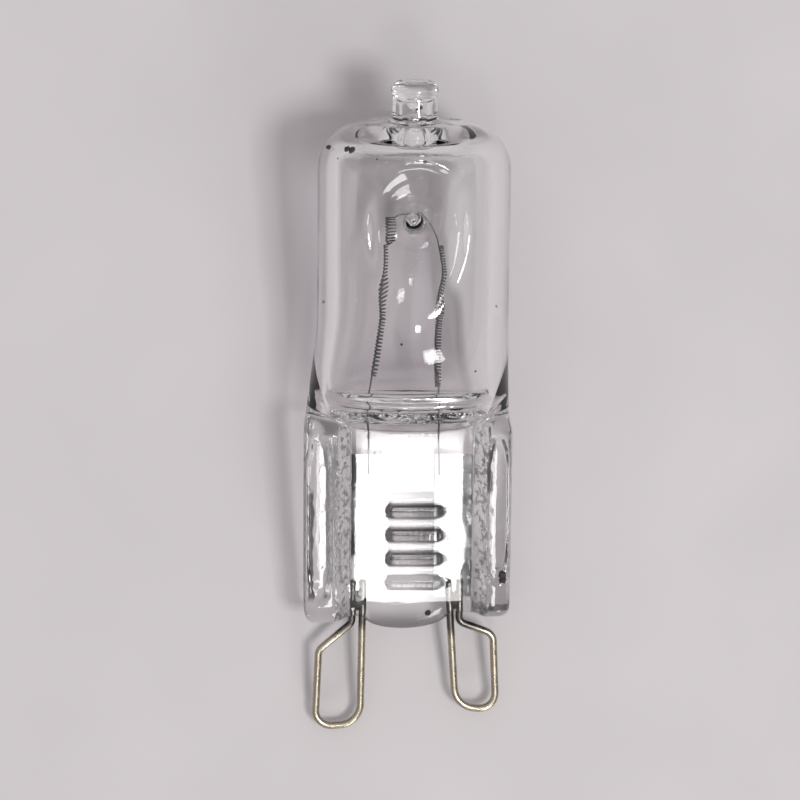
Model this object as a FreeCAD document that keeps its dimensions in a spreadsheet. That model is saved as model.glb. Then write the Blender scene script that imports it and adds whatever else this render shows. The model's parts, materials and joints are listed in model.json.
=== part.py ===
"""A clear halogen capsule lamp with two wire loop contacts, lying on its belly.

Every piece is drawn in the lamp's own frame: X across the flat pinch, Y along
the axis from the pinch's foot at zero up to the exhaust tip, Z through the
pinch. One placement then lays the whole lamp down as it rests on a table.
Lengths are millimetres.
"""
import FreeCAD, Part
import math
import os

import Sketcher

SIZES = {
    # Blown tube
    "bulb_diameter": 12.6,
    "bulb_wall": 1.3,
    "dome_height": 32.5,
    "dome_wall": 1.5,
    "shoulder_radius": 2.6,
    "cavity_corner": 1.4,
    # Exhaust tip, its bore and the drop of glass that seals it
    "tip_diameter": 3.0,
    "tip_length": 3.1,
    "tip_rounding": 0.7,
    "bore_diameter": 1.7,
    "tip_seal": 1.4,
    "seal_drop": 0.55,
    # Two facing dimples that meet as a hollow pillar
    "dimple_drop": 6.0,
    "dimple_bore": 0.7,
    "dimple_flare": 5.6,
    "dimple_turn": 76.7,
    "pillar_diameter": 1.5,
    "pillar_flare": 5.2,
    "pillar_turn": 53.0,
    "pillar_septum": 0.8,
    "dimple_root": 1.0,
    "flare_margin": 0.15,
    # Neck between the tube and the pinch
    "neck_length": 6.9,
    "neck_overlap": 1.8,
    "neck_inset": 0.15,
    "floor_glass": 1.8,
    "floor_width": 10.0,
    "floor_thickness": 1.2,
    # Pinch with a bead along each side and a thinner web between them
    "pinch_width": 13.8,
    "pinch_offset": 0.3,
    "pinch_height": 13.6,
    "pinch_skew": 0.45,
    "bead_thickness": 4.8,
    "bead_rounding": 0.9,
    "bead_end_rounding": 0.8,
    "bead_width": 2.7,
    "web_thickness": 2.4,
    "flank_slope": 0.75,
    "nose_depth": 1.0,
    "nose_reach": 1.6,
    "nose_width": 5.4,
    "nose_inset": 0.08,
    "nose_rounding": 0.9,
    "nose_shift": 0.3,
    # Raised bars across the web
    "bar_length": 3.85,
    "bar_width": 0.9,
    "bar_rise": 0.3,
    "bar_pitch": 1.63,
    "bar_count": 4,
    "bar_start": 2.2,
    "bar_shift": 0.18,
    # Foils sealed in the web
    "foil_width": 2.6,
    "foil_thickness": 0.04,
    "foil_edge": 0.3,
    "foil_centre": 2.85,
    "foil_start": 1.0,
    "foil_margin": 2.8,
    # Loop contacts
    "contact_wire": 0.5,
    "contact_lap": 1.2,
    "loop_inner_bend": 1.5,
    "loop_outer_bend": 1.05,
    "loop_shoulder_bend": 0.8,
    "loop_entry_bend": 0.55,
    "loop_heel": 0.2,
    "loop_taper": 0.25,
    "left_loop_inner": 3.18,
    "left_loop_lean": 0.16,
    "left_loop_outer": 6.4,
    "left_loop_drop": 7.95,
    "left_loop_shoulder": 2.75,
    "left_loop_entry": 3.92,
    "left_loop_exit": 0.83,
    "right_loop_inner": 2.52,
    "right_loop_lean": 0.6,
    "right_loop_outer": 5.86,
    "right_loop_drop": 6.8,
    "right_loop_shoulder": 1.65,
    "right_loop_entry": 3.3,
    "right_loop_exit": 0.8,
    # Inner leads
    "lead_wire": 0.14,
    "lead_lap": 1.4,
    "elbow_rise": 0.6,
    "left_lead_foot": 2.86,
    "left_lead_elbow": 2.88,
    "left_lead_top": 2.47,
    "left_lead_rise": 3.2,
    "right_lead_foot": 1.85,
    "right_lead_elbow": 1.7,
    "right_lead_top": 1.64,
    "right_lead_rise": 2.5,
    # Filament
    "filament_wire": 0.1,
    "coil_radius": 0.2,
    "coil_grip": 1.0,
    "left_coil_drop": 1.6,
    "left_coil_top_out": 1.78,
    "left_coil_bow": 0.2,
    "left_coil_turns": 37,
    "bunch_radius": 0.4,
    "bunch_out": 1.49,
    "bunch_drop": 1.4,
    "bunch_length": 1.5,
    "bunch_turns": 8,
    "hook_gap": 0.03,
    "right_coil_drop": 2.0,
    "right_coil_top_out": 1.77,
    "right_coil_bow": 0.38,
    "right_coil_turns": 48,
    # Gap left where a wire is wound round a lead, hooked over the pillar or laid on a foil
    "winding_gap": 0.01,
}

# Heights along the lamp and half widths that follow from the sizes
NECK_FOOT = "( pinch_height - neck_overlap )"
CAVITY_FLOOR = "( pinch_height - neck_overlap + floor_glass )"
NECK_TOP = "( pinch_height + neck_length )"
TIP_END = "( dome_height + tip_length )"
BORE_END = "( dome_height + tip_length - tip_seal )"
DIMPLE = "( dome_height - dimple_drop )"
WEB_HALF = "( pinch_width / 2 - bead_width )"
FOIL_END = "( pinch_height - foil_margin )"
LEAD_ELBOW = "( pinch_height - neck_overlap + floor_glass + elbow_rise )"
METAL_LEVEL = "( foil_thickness / 2 + winding_gap )"
# Flat steps that stand for each rounding: the tube's shoulder, the gas space's corner, the
# exhaust tip, the sealing drop, the nose, a bar's end, and the flares of a dimple and of the
# pillar's glass
SHOULDER_STEPS = 3
CORNER_STEPS = 2
TIP_STEPS = 2
DROP_STEPS = 2
NOSE_STEPS = 8
BAR_STEPS = 4
DIMPLE_STEPS = 3
PILLAR_STEPS = 2
# Flat sides that stand for each round wire
LOOP_SIDES = 6
LEAD_SIDES = 6
FILAMENT_SIDES = 3
# Lofts between ellipses that make up the neck, outside and inside
OUTER_NECK_STEPS = 6
INNER_NECK_STEPS = 5
# Straight runs in one turn of a coil, turns in which a coil opens from its lead to its own
# radius, and straight runs on each side of the arch
TURN_STEPS = 4
GRIP_TURNS = 3
ARCH_STEPS = 8
# Reach of the filament's corners from its middle, as a share of its thickness
CORNER_REACH = 0.65
# How the right coil sways: two points along it, as shares of its run and of the sway
UPPER_SWAY = (0.22, 1.0)
LOWER_SWAY = (0.5, -0.45)
# How the arch leaves the bunch, passes the pillar and comes down, as shares of its own run
ARCH_LEAVE = (0.1, 0.5)
ARCH_CREST = (0.5, 0.45)
ARCH_FALL = 0.6
# Step along a coil's spine over which its direction is taken
SPINE_STEP = 0.01

doc = FreeCAD.newDocument("capsule_lamp")
sheet = doc.addObject("Spreadsheet::Sheet", "sizes")


def fill_sheet():
    """Writes each driving size beside its name and gives the cell that name as alias."""
    for row, (name, value) in enumerate(SIZES.items(), start=1):
        sheet.set(f"A{row}", name)
        sheet.set(f"B{row}", str(value))
        sheet.setAlias(f"B{row}", name)
    doc.recompute()


def bound(expression):
    """An expression over the sheet's names, with each name led by the sheet's own."""
    words = expression.replace("(", " ( ").replace(")", " ) ").split()
    text = " ".join(f"sizes.{word}" if word in SIZES else word for word in words)
    return text.replace("sin (", "sin(").replace("cos (", "cos(")


def value(expression):
    """What an expression over the sheet's names comes to now."""
    result = sheet.evalExpression(bound(expression))
    return float(getattr(result, "Value", result))


def bind(thing, prop, expression):
    thing.setExpression(prop, bound(expression))


# Sketches


def origin_plane(body, role):
    return next(plane for plane in body.Origin.OriginFeatures if plane.Role == role)


def new_sketch(body, name, role, offset=None):
    """A sketch on one of the body's own origin planes, moved along its normal."""
    sketch = body.newObject("Sketcher::SketchObject", name)
    sketch.AttachmentSupport = [(origin_plane(body, role), "")]
    sketch.MapMode = "FlatFace"
    if offset:
        bind(sketch, "AttachmentOffset.Base.z", offset)
    return sketch


def pin(sketch, geometry, point, across, along):
    """Holds one point of a sketch at two expressions, or on an axis where one is zero."""
    for kind, axis, expression in (("DistanceX", -2, across), ("DistanceY", -1, along)):
        if expression == "0":
            sketch.addConstraint(Sketcher.Constraint("PointOnObject", geometry, point, axis))
        else:
            held = Sketcher.Constraint(kind, geometry, point, value(expression))
            number = sketch.addConstraint(held)
            bind(sketch, f"Constraints[{number}]", expression)


def outline(sketch, corners, closed=True):
    """Lines through the corners (across, along, radius), rounded where a radius is given."""
    spots = [FreeCAD.Vector(value(across), value(along), 0) for across, along, _ in corners]
    count = len(corners)
    starts, ends, arcs = list(spots), list(spots), {}
    for i, (_, _, radius) in enumerate(corners):
        if radius is None:
            continue
        before = (spots[i - 1] - spots[i]).normalize()
        after = (spots[(i + 1) % count] - spots[i]).normalize()
        half = before.getAngle(after) / 2
        size = value(radius)
        ends[i] = spots[i] + before * (size / math.tan(half))
        starts[i] = spots[i] + after * (size / math.tan(half))
        middle = spots[i] + (before + after).normalize() * (size / math.sin(half))
        left_turn = before.cross(after).z < 0
        first, last = (ends[i], starts[i]) if left_turn else (starts[i], ends[i])
        angles = [math.atan2(p.y - middle.y, p.x - middle.x) for p in (first, last)]
        ring = Part.Circle(middle, FreeCAD.Vector(0, 0, 1), size)
        arcs[i] = (Part.ArcOfCircle(ring, *angles), left_turn)
    runs = count if closed else count - 1
    lines = [
        sketch.addGeometry(Part.LineSegment(starts[i], ends[(i + 1) % count])) for i in range(runs)
    ]
    for i, (across, along, radius) in enumerate(corners):
        inner = closed or 0 < i < count - 1
        into, out = lines[i - 1], lines[i % runs]
        if radius is not None:
            round_corner(sketch, arcs[i], into, out, corners[i], spots[i])
        elif inner:
            sketch.addConstraint(Sketcher.Constraint("Coincident", into, 2, out, 1))
            pin(sketch, out, 1, across, along)
        else:
            pin(sketch, *((lines[0], 1) if i == 0 else (lines[-1], 2)), across, along)
    return lines


def round_corner(sketch, arc, into, out, corner, spot):
    """One rounded corner, whose two lines still aim at the corner's own point."""
    curve, left_turn = arc
    across, along, radius = corner
    turn = sketch.addGeometry(curve)
    aim = sketch.addGeometry(Part.Point(spot), True)
    pin(sketch, aim, 1, across, along)
    first, last = (1, 2) if left_turn else (2, 1)
    for held in (
        Sketcher.Constraint("PointOnObject", aim, 1, into),
        Sketcher.Constraint("PointOnObject", aim, 1, out),
        Sketcher.Constraint("Tangent", into, 2, turn, first),
        Sketcher.Constraint("Tangent", out, 1, turn, last),
    ):
        sketch.addConstraint(held)
    number = sketch.addConstraint(Sketcher.Constraint("Radius", turn, value(radius)))
    bind(sketch, f"Constraints[{number}]", radius)


def arc_corners(across, along, radius, first, last, steps, rise=None):
    """Corners on an arc about a point, from one angle to another in degrees.

    With a rise of its own, the arc is an ellipse's.
    """
    corners = []
    for step in range(steps + 1):
        angle = math.radians(first + (last - first) * step / steps)
        corners.append((
            f"{across} + ( {radius} ) * ( {math.cos(angle):.6f} )",
            f"{along} + ( {rise or radius} ) * ( {math.sin(angle):.6f} )",
            None,
        ))
    return corners


# Bodies


def body_named(name):
    return doc.addObject("PartDesign::Body", name)


def turned(name, role, corners):
    """A body turned from an outline about the sketch's vertical axis."""
    body = body_named(name)
    sketch = new_sketch(body, name + "_outline", role)
    outline(sketch, corners)
    turn = body.newObject("PartDesign::Revolution", name + "_turn")
    turn.Profile = sketch
    turn.ReferenceAxis = (sketch, ["V_Axis"])
    return body


def padded(name, role, corners, length):
    """A body padded both ways from an outline on an origin plane."""
    body = body_named(name)
    sketch = new_sketch(body, name + "_outline", role)
    outline(sketch, corners)
    pad = body.newObject("PartDesign::Pad", name + "_pad")
    pad.Profile = sketch
    pad.Midplane = True
    bind(pad, "Length", length)
    return body


def wire_body(name, corners, diameter, sides):
    """A wire piped along a path in its own level, which starts along the lamp's axis."""
    level = f"{METAL_LEVEL} + {diameter} / 2"
    body = body_named(name)
    path = new_sketch(body, name + "_path", "XY_Plane", level)
    outline(path, corners, closed=False)
    across, along, _ = corners[0]
    section = new_sketch(body, name + "_section", "XZ_Plane", f"-1 * ( {along} )")
    turn = 360 / sides
    outline(section, arc_corners(across, level, f"{diameter} / 2", turn / 2, 360 - turn / 2, sides - 1))
    pipe = body.newObject("PartDesign::AdditivePipe", name + "_pipe")
    pipe.Profile = section
    pipe.Spine = (path, [])
    pipe.Transition = "Right corner"
    return body


def combined(kind, name, shapes):
    """A Part boolean of several objects: MultiFuse or MultiCommon."""
    result = doc.addObject(f"Part::{kind}", name)
    result.Shapes = shapes
    return result


def cut(name, base, tool):
    result = doc.addObject("Part::Cut", name)
    result.Base = base
    result.Tool = tool
    return result


# Blown tube and exhaust tip


def blown_outside():
    """The tube, its shoulder and the exhaust tip, turned as one outside skin."""
    return turned("blown_outside", "XY_Plane", [
        ("0", NECK_TOP, None),
        ("bulb_diameter / 2", NECK_TOP, None),
        *arc_corners("bulb_diameter / 2 - shoulder_radius", "dome_height - shoulder_radius",
                     "shoulder_radius", 0, 90, SHOULDER_STEPS),
        ("tip_diameter / 2", "dome_height", None),
        *arc_corners("tip_diameter / 2 - tip_rounding", f"{TIP_END} - tip_rounding",
                     "tip_rounding", 0, 90, TIP_STEPS),
        ("0", TIP_END, None),
    ])


def gas_space():
    """The hollow of the tube and the exhaust tip's bore, up to the drop that seals it."""
    inside = "bulb_diameter / 2 - bulb_wall"
    return turned("gas_space", "XY_Plane", [
        ("0", NECK_TOP, None),
        (inside, NECK_TOP, None),
        *arc_corners(f"{inside} - cavity_corner", "dome_height - dome_wall - cavity_corner",
                     "cavity_corner", 0, 90, CORNER_STEPS),
        ("bore_diameter / 2", "dome_height - dome_wall", None),
        ("bore_diameter / 2", BORE_END, None),
        *arc_corners("0", BORE_END, "seal_drop", 0, 90 / DROP_STEPS - 90, DROP_STEPS - 1),
        ("0", f"{BORE_END} - seal_drop", None),
    ])


def trumpet_corners(low, out, flare, turn, rim, steps):
    """Half a trumpet's section: a straight root, then a flare that opens to the rim."""
    corners = [("0", low, None), (out, low, None), (out, "dimple_root", None)]
    for step in range(1, steps + 1):
        angle = f"{turn} * {step} / {steps}"
        rise = f"sin( {angle} ) / sin( {turn} )"
        corners.append((
            f"{out} + {flare} * ( 1 - cos( {angle} ) )",
            f"dimple_root + ( {rim} - dimple_root ) * {rise}",
            None,
        ))
    return corners + [("0", rim, None)]


def trumpets(name, low, out, flare, turn, rim, steps):
    """Two flaring shapes, front and back, turned about the thickness axis."""
    body = body_named(name)
    sketch = new_sketch(body, name + "_outline", "XZ_Plane", f"-1 * {DIMPLE}")
    outline(sketch, trumpet_corners(low, out, flare, turn, rim, steps))
    revolved = body.newObject("PartDesign::Revolution", name + "_turn")
    revolved.Profile = sketch
    revolved.ReferenceAxis = (sketch, ["V_Axis"])
    mirror = body.newObject("PartDesign::Mirrored", name + "_pair")
    mirror.Originals = [revolved]
    mirror.MirrorPlane = (origin_plane(body, "XY_Plane"), [""])
    body.Tip = mirror
    return body


def dimple_hollows():
    """The two open dimples, pressed in from front and back and stopped by the septum."""
    return trumpets("dimple_hollows", "pillar_septum / 2", "dimple_bore / 2", "dimple_flare",
                    "dimple_turn", "( bulb_diameter / 2 + flare_margin )", DIMPLE_STEPS)


def dimple_glass():
    """The glass round both dimples, which crosses the gas space as a pillar."""
    return trumpets("dimple_glass", "0", "pillar_diameter / 2", "pillar_flare",
                    "pillar_turn", "( bulb_diameter / 2 - bulb_wall + flare_margin )",
                    PILLAR_STEPS)


# Neck


def neck_loft(name, floor, width, thickness, top_radius, steps):
    """Ellipses from a flattened foot up to the round tube, with straight lofts between.

    Each ellipse is bound to the sheet: its thickness swells quickly from the
    foot, and its width and its shift to the side fade out smoothly.
    """
    rings = []
    for step in range(steps + 1):
        share = step / steps
        spread = (1 - share) ** 2 * (1 + 2 * share)
        swell = math.sin(share * math.pi / 2)
        half_depth = f"{thickness} / 2 * {1 - swell:.6f} + ( {top_radius} ) * {swell:.6f}"
        half_width = f"{width} / 2 * {spread:.6f} + ( {top_radius} ) * {1 - spread:.6f}"
        ring = doc.addObject("Part::Ellipse", f"{name}_ring_{step}")
        bind(ring, "MajorRadius", half_width)
        bind(ring, "MinorRadius", half_depth)
        ring.Placement = FreeCAD.Placement(
            FreeCAD.Vector(), FreeCAD.Rotation(FreeCAD.Vector(1, 0, 0), 90)
        )
        bind(ring, "Placement.Base.x", f"-1 * pinch_offset * {spread:.6f}")
        bind(ring, "Placement.Base.y", f"{floor} + ( {NECK_TOP} - {floor} ) * {share:.6f}")
        rings.append(ring)
    loft = doc.addObject("Part::Loft", name)
    loft.Sections = rings
    loft.Solid = True
    loft.Ruled = True
    return loft


# Pinch


def pinch_block():
    """The pinch: its H section cut to its front outline and its rounded side outline."""
    left, right = "-1 * pinch_width / 2 - pinch_offset", "pinch_width / 2 - pinch_offset"
    face, web = "bead_thickness / 2", "web_thickness / 2"
    wall, lip = WEB_HALF, f"{WEB_HALF} + flank_slope"
    minus = "-1 * ( {} )".format
    section = padded("pinch_section", "XZ_Plane", [
        (left, minus(face), "bead_rounding"),
        (minus(lip), minus(face), None),
        (minus(wall), minus(web), None),
        (wall, minus(web), None),
        (lip, minus(face), None),
        (right, minus(face), "bead_rounding"),
        (right, face, "bead_rounding"),
        (lip, face, None),
        (wall, web, None),
        (minus(wall), web, None),
        (minus(lip), face, None),
        (left, face, "bead_rounding"),
    ], "2 * ( pinch_height + pinch_skew )")
    front = padded("pinch_front", "XY_Plane", [
        (left, "-1 * pinch_skew", "bead_rounding"),
        (right, "0", "bead_rounding"),
        (right, "pinch_height", "bead_rounding"),
        (left, "pinch_height", "bead_rounding"),
    ], "2 * bead_thickness")
    side = padded("pinch_side", "YZ_Plane", [
        ("-1 * pinch_skew", minus(face), "bead_end_rounding"),
        ("pinch_height", minus(face), "bead_end_rounding"),
        ("pinch_height", face, "bead_end_rounding"),
        ("-1 * pinch_skew", face, "bead_end_rounding"),
    ], "2 * ( pinch_width + pinch_offset )")
    return combined("MultiCommon", "pinch_block", [section, front, side])


def pinch_nose():
    """The bulge of squeezed glass below the web, between the two contacts."""
    half = "( web_thickness / 2 - nose_inset )"
    front = padded("nose_front", "XY_Plane", arc_corners(
        "-1 * nose_shift", "nose_reach - nose_depth", "nose_width / 2", 180, 360, NOSE_STEPS,
        "nose_reach",
    ), "web_thickness")
    side = padded("nose_side", "YZ_Plane", [
        ("-1 * nose_depth", f"-1 * {half}", "nose_rounding"),
        ("nose_reach", f"-1 * {half}", None),
        ("nose_reach", half, None),
        ("-1 * nose_depth", half, "nose_rounding"),
    ], "2 * nose_width")
    return combined("MultiCommon", "pinch_nose", [front, side])


def web_bars():
    """A ladder of raised bars with round ends, on both faces of the web."""
    body = body_named("web_bars")
    sketch = new_sketch(body, "web_bars_outline", "XY_Plane")
    half, reach = "bar_width / 2", "( bar_length / 2 - bar_width / 2 )"
    outline(sketch, [
        *arc_corners(f"bar_shift - {reach}", "bar_start", half, 90, 270, BAR_STEPS),
        *arc_corners(f"bar_shift + {reach}", "bar_start", half, -90, 90, BAR_STEPS),
    ])
    pad = body.newObject("PartDesign::Pad", "web_bars_pad")
    pad.Profile = sketch
    pad.Midplane = True
    bind(pad, "Length", "web_thickness + 2 * bar_rise")
    row = body.newObject("PartDesign::LinearPattern", "web_bars_row")
    row.Originals = [pad]
    row.Direction = (sketch, ["V_Axis"])
    bind(row, "Occurrences", "bar_count")
    bind(row, "Length", "bar_pitch * ( bar_count - 1 )")
    body.Tip = row
    return body


# Metal parts


def contact_loop(side, sign):
    """One contact: a wire bent to a long loop, with both ends sealed in the glass."""
    inner, outer = f"{side}_loop_inner", f"{side}_loop_outer"
    entry, drop = f"{side}_loop_entry", f"{side}_loop_drop"
    corners = [
        (inner, "foil_start + contact_lap", None),
        (f"{inner} + {side}_loop_lean", f"-1 * {drop}", "loop_inner_bend"),
        (outer, f"-1 * {drop} - loop_heel", "loop_outer_bend"),
        (f"{outer} - loop_taper", f"-1 * {side}_loop_shoulder", "loop_shoulder_bend"),
        (entry, f"-1 * {side}_loop_exit", "loop_entry_bend"),
        (entry, "foil_start + contact_lap", None),
    ]
    placed = [(f"{sign} * ( {across} )", along, radius) for across, along, radius in corners]
    return wire_body(f"contact_loop_{side}", placed, "contact_wire", LOOP_SIDES)


def foil(side, sign):
    """A thin sealing foil with knife edges, which joins a contact to an inner lead."""
    body = body_named(f"foil_{side}")
    sketch = new_sketch(body, f"foil_{side}_outline", "XZ_Plane", "-1 * foil_start")
    centre, half = f"{sign} * foil_centre", "foil_width / 2"
    flat, skin = "( foil_width / 2 - foil_edge )", "foil_thickness / 2"
    outline(sketch, [
        (f"{centre} - {half}", "0", None),
        (f"{centre} - {flat}", f"-1 * {skin}", None),
        (f"{centre} + {flat}", f"-1 * {skin}", None),
        (f"{centre} + {half}", "0", None),
        (f"{centre} + {flat}", skin, None),
        (f"{centre} - {flat}", skin, None),
    ])
    pad = body.newObject("PartDesign::Pad", f"foil_{side}_pad")
    pad.Profile = sketch
    pad.Reversed = True
    bind(pad, "Length", f"{FOIL_END} - foil_start")
    return body


def inner_lead(side, sign):
    """A thin wire from the foil up through the cavity's floor into the coil's foot."""
    corners = [
        (f"{sign} * {side}_lead_foot", f"{FOIL_END} - lead_lap", None),
        (f"{sign} * {side}_lead_elbow", LEAD_ELBOW, None),
        (f"{sign} * {side}_lead_top", f"{LEAD_ELBOW} + {side}_lead_rise", None),
    ]
    return wire_body(f"inner_lead_{side}", corners, "lead_wire", LEAD_SIDES)


# Filament


def bezier(spots, share):
    """The point at a share of the way along a Bezier curve."""
    while len(spots) > 1:
        spots = [a + (b - a) * share for a, b in zip(spots, spots[1:])]
    return spots[0]


def coil_points(spine, turns, radius_at):
    """Points of a helix wound round a Bezier spine, its radius set by turns done."""
    points = []
    steps = int(round(turns * TURN_STEPS))
    for step in range(steps + 1):
        share = step / steps
        centre = bezier(spine, share)
        ahead = bezier(spine, min(share + SPINE_STEP, 1)) - bezier(spine, max(share - SPINE_STEP, 0))
        across = FreeCAD.Vector(ahead.y, -ahead.x, 0).normalize()
        angle = 2 * math.pi * step / TURN_STEPS
        radius = radius_at(step / TURN_STEPS)
        points.append(centre + across * (radius * math.cos(angle))
                      + FreeCAD.Vector(0, 0, radius * math.sin(angle)))
    return points


def filament_spot(across, along):
    """A point at the level of the filament, given across and along the lamp."""
    return FreeCAD.Vector(across, along, value(f"{METAL_LEVEL} + lead_wire / 2"))


def left_coil(radius_at):
    """Points of the left coil, which bows outwards between its lead and the bunch."""
    foot = on_lead("left", -1)
    top = filament_spot(-value("left_coil_top_out"), value(f"{DIMPLE} - left_coil_drop"))
    middle = (foot + top) * 0.5 + FreeCAD.Vector(value("left_coil_bow"), 0, 0)
    return coil_points([foot, middle, top], value("left_coil_turns"), radius_at)


def right_coil(radius_at):
    """Points of the right coil, which sways down from the arch to its lead."""
    foot = on_lead("right", 1)
    top = filament_spot(value("right_coil_top_out"), value(f"{DIMPLE} - right_coil_drop"))
    sway = FreeCAD.Vector(value("right_coil_bow"), 0, 0)
    swayed = [top + (foot - top) * run + sway * out for run, out in (UPPER_SWAY, LOWER_SWAY)]
    return coil_points([top, *swayed, foot], value("right_coil_turns"), radius_at)


def arch(start, end):
    """Points of the wire's arch over the pillar, between the bunch and the right coil."""
    corner = value("filament_wire") * CORNER_REACH
    crest = filament_spot(0, value(f"{DIMPLE} + pillar_diameter / 2 + hook_gap") + corner)
    rise = [
        start,
        start + FreeCAD.Vector(-start.x * ARCH_LEAVE[0], (crest.y - start.y) * ARCH_LEAVE[1], 0),
        crest + FreeCAD.Vector(start.x * ARCH_CREST[0], 0, 0),
        crest,
    ]
    fall = [
        crest,
        crest + FreeCAD.Vector(end.x * ARCH_CREST[1], 0, 0),
        end + FreeCAD.Vector(0, (crest.y - end.y) * ARCH_FALL, 0),
        end,
    ]
    up = [bezier(rise, step / ARCH_STEPS) for step in range(1, ARCH_STEPS)]
    return up + [bezier(fall, step / ARCH_STEPS) for step in range(ARCH_STEPS)]


def filament_points():
    """The whole wire: left coil, bunched coil, the arch over the pillar, right coil."""
    wound, bunched = value("coil_radius"), value("bunch_radius")
    facet = math.cos(math.pi / TURN_STEPS)
    corner = value("filament_wire") * CORNER_REACH
    grip = (value("lead_wire / 2 + winding_gap") + corner) / facet

    def growing(turn):
        return grip + (wound - grip) * min(turn / GRIP_TURNS, 1)

    def bulging(turn):
        return wound + (bunched - wound) * min(turn, 1)

    def shrinking(turn):
        return growing(value("right_coil_turns") - turn)

    bunch_foot = filament_spot(-value("bunch_out"), value(f"{DIMPLE} - bunch_drop"))
    bunch_spine = [bunch_foot, bunch_foot + FreeCAD.Vector(0, value("bunch_length"), 0)]
    left = left_coil(growing)
    bunch = coil_points(bunch_spine, value("bunch_turns"), bulging)
    right = right_coil(shrinking)
    return left + bunch + arch(bunch[-1], right[0]) + right


def on_lead(side, sign):
    """The point of an inner lead's upper run where its coil starts to grip it."""
    rise, grip = value(f"{side}_lead_rise"), value("coil_grip")
    share = (rise - grip) / rise
    out = value(f"{side}_lead_elbow") * (1 - share) + value(f"{side}_lead_top") * share
    return filament_spot(sign * out, value(LEAD_ELBOW) + rise - grip)


def mitred_wire(points, reach, sides):
    """A flat-sided wire of straight runs whose sides meet on each corner's mitre plane."""
    runs = [(b - a).normalize() for a, b in zip(points, points[1:])]
    side = runs[0].cross(FreeCAD.Vector(0, 0, 1)).normalize()
    other = runs[0].cross(side)
    angles = [2 * math.pi * corner / sides for corner in range(sides)]
    ring = [points[0] + side * (reach * math.cos(a)) + other * (reach * math.sin(a))
            for a in angles]
    faces = [Part.Face(Part.makePolygon(ring + ring[:1]))]
    for i, run in enumerate(runs):
        mitre = run + runs[i + 1] if i + 1 < len(runs) else run
        new = [p + run * ((points[i + 1] - p).dot(mitre) / run.dot(mitre)) for p in ring]
        for j in range(sides):
            k = (j + 1) % sides
            loop = [ring[j], ring[k], new[k], new[j], ring[j]]
            faces.append(Part.Face(Part.makePolygon(loop)))
        ring = new
    faces.append(Part.Face(Part.makePolygon(ring + ring[:1])))
    shell = Part.Shell(faces)
    solid = Part.makeSolid(shell)
    if solid.Volume < 0:
        solid.reverse()
    return solid


def filament():
    """One tungsten wire, wound and hooked over the pillar."""
    piece = doc.addObject("Part::Feature", "filament")
    reach = value("filament_wire") * CORNER_REACH
    piece.Shape = mitred_wire(filament_points(), reach, FILAMENT_SIDES)
    return piece


# Glass envelope


def glass_envelope(metal):
    """The glass, blown, dimpled and pinched, before and after it takes its sealed metal.

    The solid glass is what gets laid down; the cuts then follow the metal to its place.
    """
    inside = "bulb_diameter / 2 - bulb_wall"
    neck_width = "( pinch_width - 2 * neck_inset )"
    outer_neck = neck_loft("outer_neck", NECK_FOOT, neck_width, "web_thickness",
                           "bulb_diameter / 2", OUTER_NECK_STEPS)
    inner_neck = neck_loft("inner_neck", CAVITY_FLOOR, "floor_width", "floor_thickness",
                           inside, INNER_NECK_STEPS)
    outside = combined("MultiFuse", "outside", [
        blown_outside(), outer_neck, pinch_block(), pinch_nose(), web_bars(),
    ])
    gas = combined("MultiFuse", "gas", [gas_space(), inner_neck])
    hollow = cut("hollow", gas, dimple_glass())
    shell = cut("shell", outside, hollow)
    dimpled = cut("dimpled", shell, dimple_hollows())
    sealed = dimpled
    for piece in metal[:-1]:
        sealed = cut("sealed_" + piece.Label, sealed, piece)
    return dimpled, cut("glass_envelope", sealed, metal[-1])


# The resting pose


def resting_tilt():
    """The angle of the table line that touches the neck's belly and the beads' feet."""
    rounding = value("bead_end_rounding")
    foot = (rounding - value("pinch_skew"), value("bead_thickness / 2") - rounding)
    low, high = value(NECK_FOOT), value(NECK_TOP)
    thin, full = value("web_thickness / 2"), value("bulb_diameter / 2")
    best = 0.0
    for step in range(1, OUTER_NECK_STEPS + 1):
        share = step / OUTER_NECK_STEPS
        run = low + (high - low) * share - foot[0]
        rise = thin + (full - thin) * math.sin(share * math.pi / 2) - foot[1]
        best = max(best, math.atan2(rise, run) - math.asin(rounding / math.hypot(run, rise)))
    return math.degrees(best)


def lay_down(movers, pieces):
    """Tilts every mover alike and sets the lamp on the table, centred over the origin."""
    turn = FreeCAD.Rotation(FreeCAD.Vector(1, 0, 0), resting_tilt())
    for mover in movers:
        mover.Placement = FreeCAD.Placement(FreeCAD.Vector(), turn)
    doc.recompute()
    box = FreeCAD.BoundBox()
    for piece in pieces:
        box.add(piece.Shape.optimalBoundingBox(False))
    shift = FreeCAD.Vector(-box.Center.x, -box.Center.y, -box.ZMin)
    for mover in movers:
        mover.Placement = FreeCAD.Placement(shift, turn)
    doc.recompute()


def check(pieces):
    """Stops unless every object computed and every piece is a sound solid."""
    failed = [t.Name for t in doc.Objects if "Invalid" in t.State or "Error" in t.State]
    if failed:
        raise RuntimeError("not computed: " + ", ".join(failed))
    for piece in pieces:
        shape = piece.Shape
        if shape.isNull() or not shape.isValid() or shape.Volume <= 0:
            raise RuntimeError(f"{piece.Label} has no sound shape")


def main():
    fill_sheet()
    metal = []
    for side, sign in (("left", "-1"), ("right", "1")):
        metal += [contact_loop(side, sign), foil(side, sign), inner_lead(side, sign)]
    doc.recompute()
    solid_glass, glass = glass_envelope(metal)
    wound = filament()
    doc.recompute()
    pieces = [glass, *metal, wound]
    check(pieces)
    lay_down([solid_glass, *metal, wound], pieces)
    check(pieces)
    os.makedirs("parts", exist_ok=True)
    for piece in pieces:
        piece.Shape.exportStep(f"parts/{piece.Label}.step")
        print(piece.Label, len(piece.Shape.Solids), round(piece.Shape.Volume, 3))


main()
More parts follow.
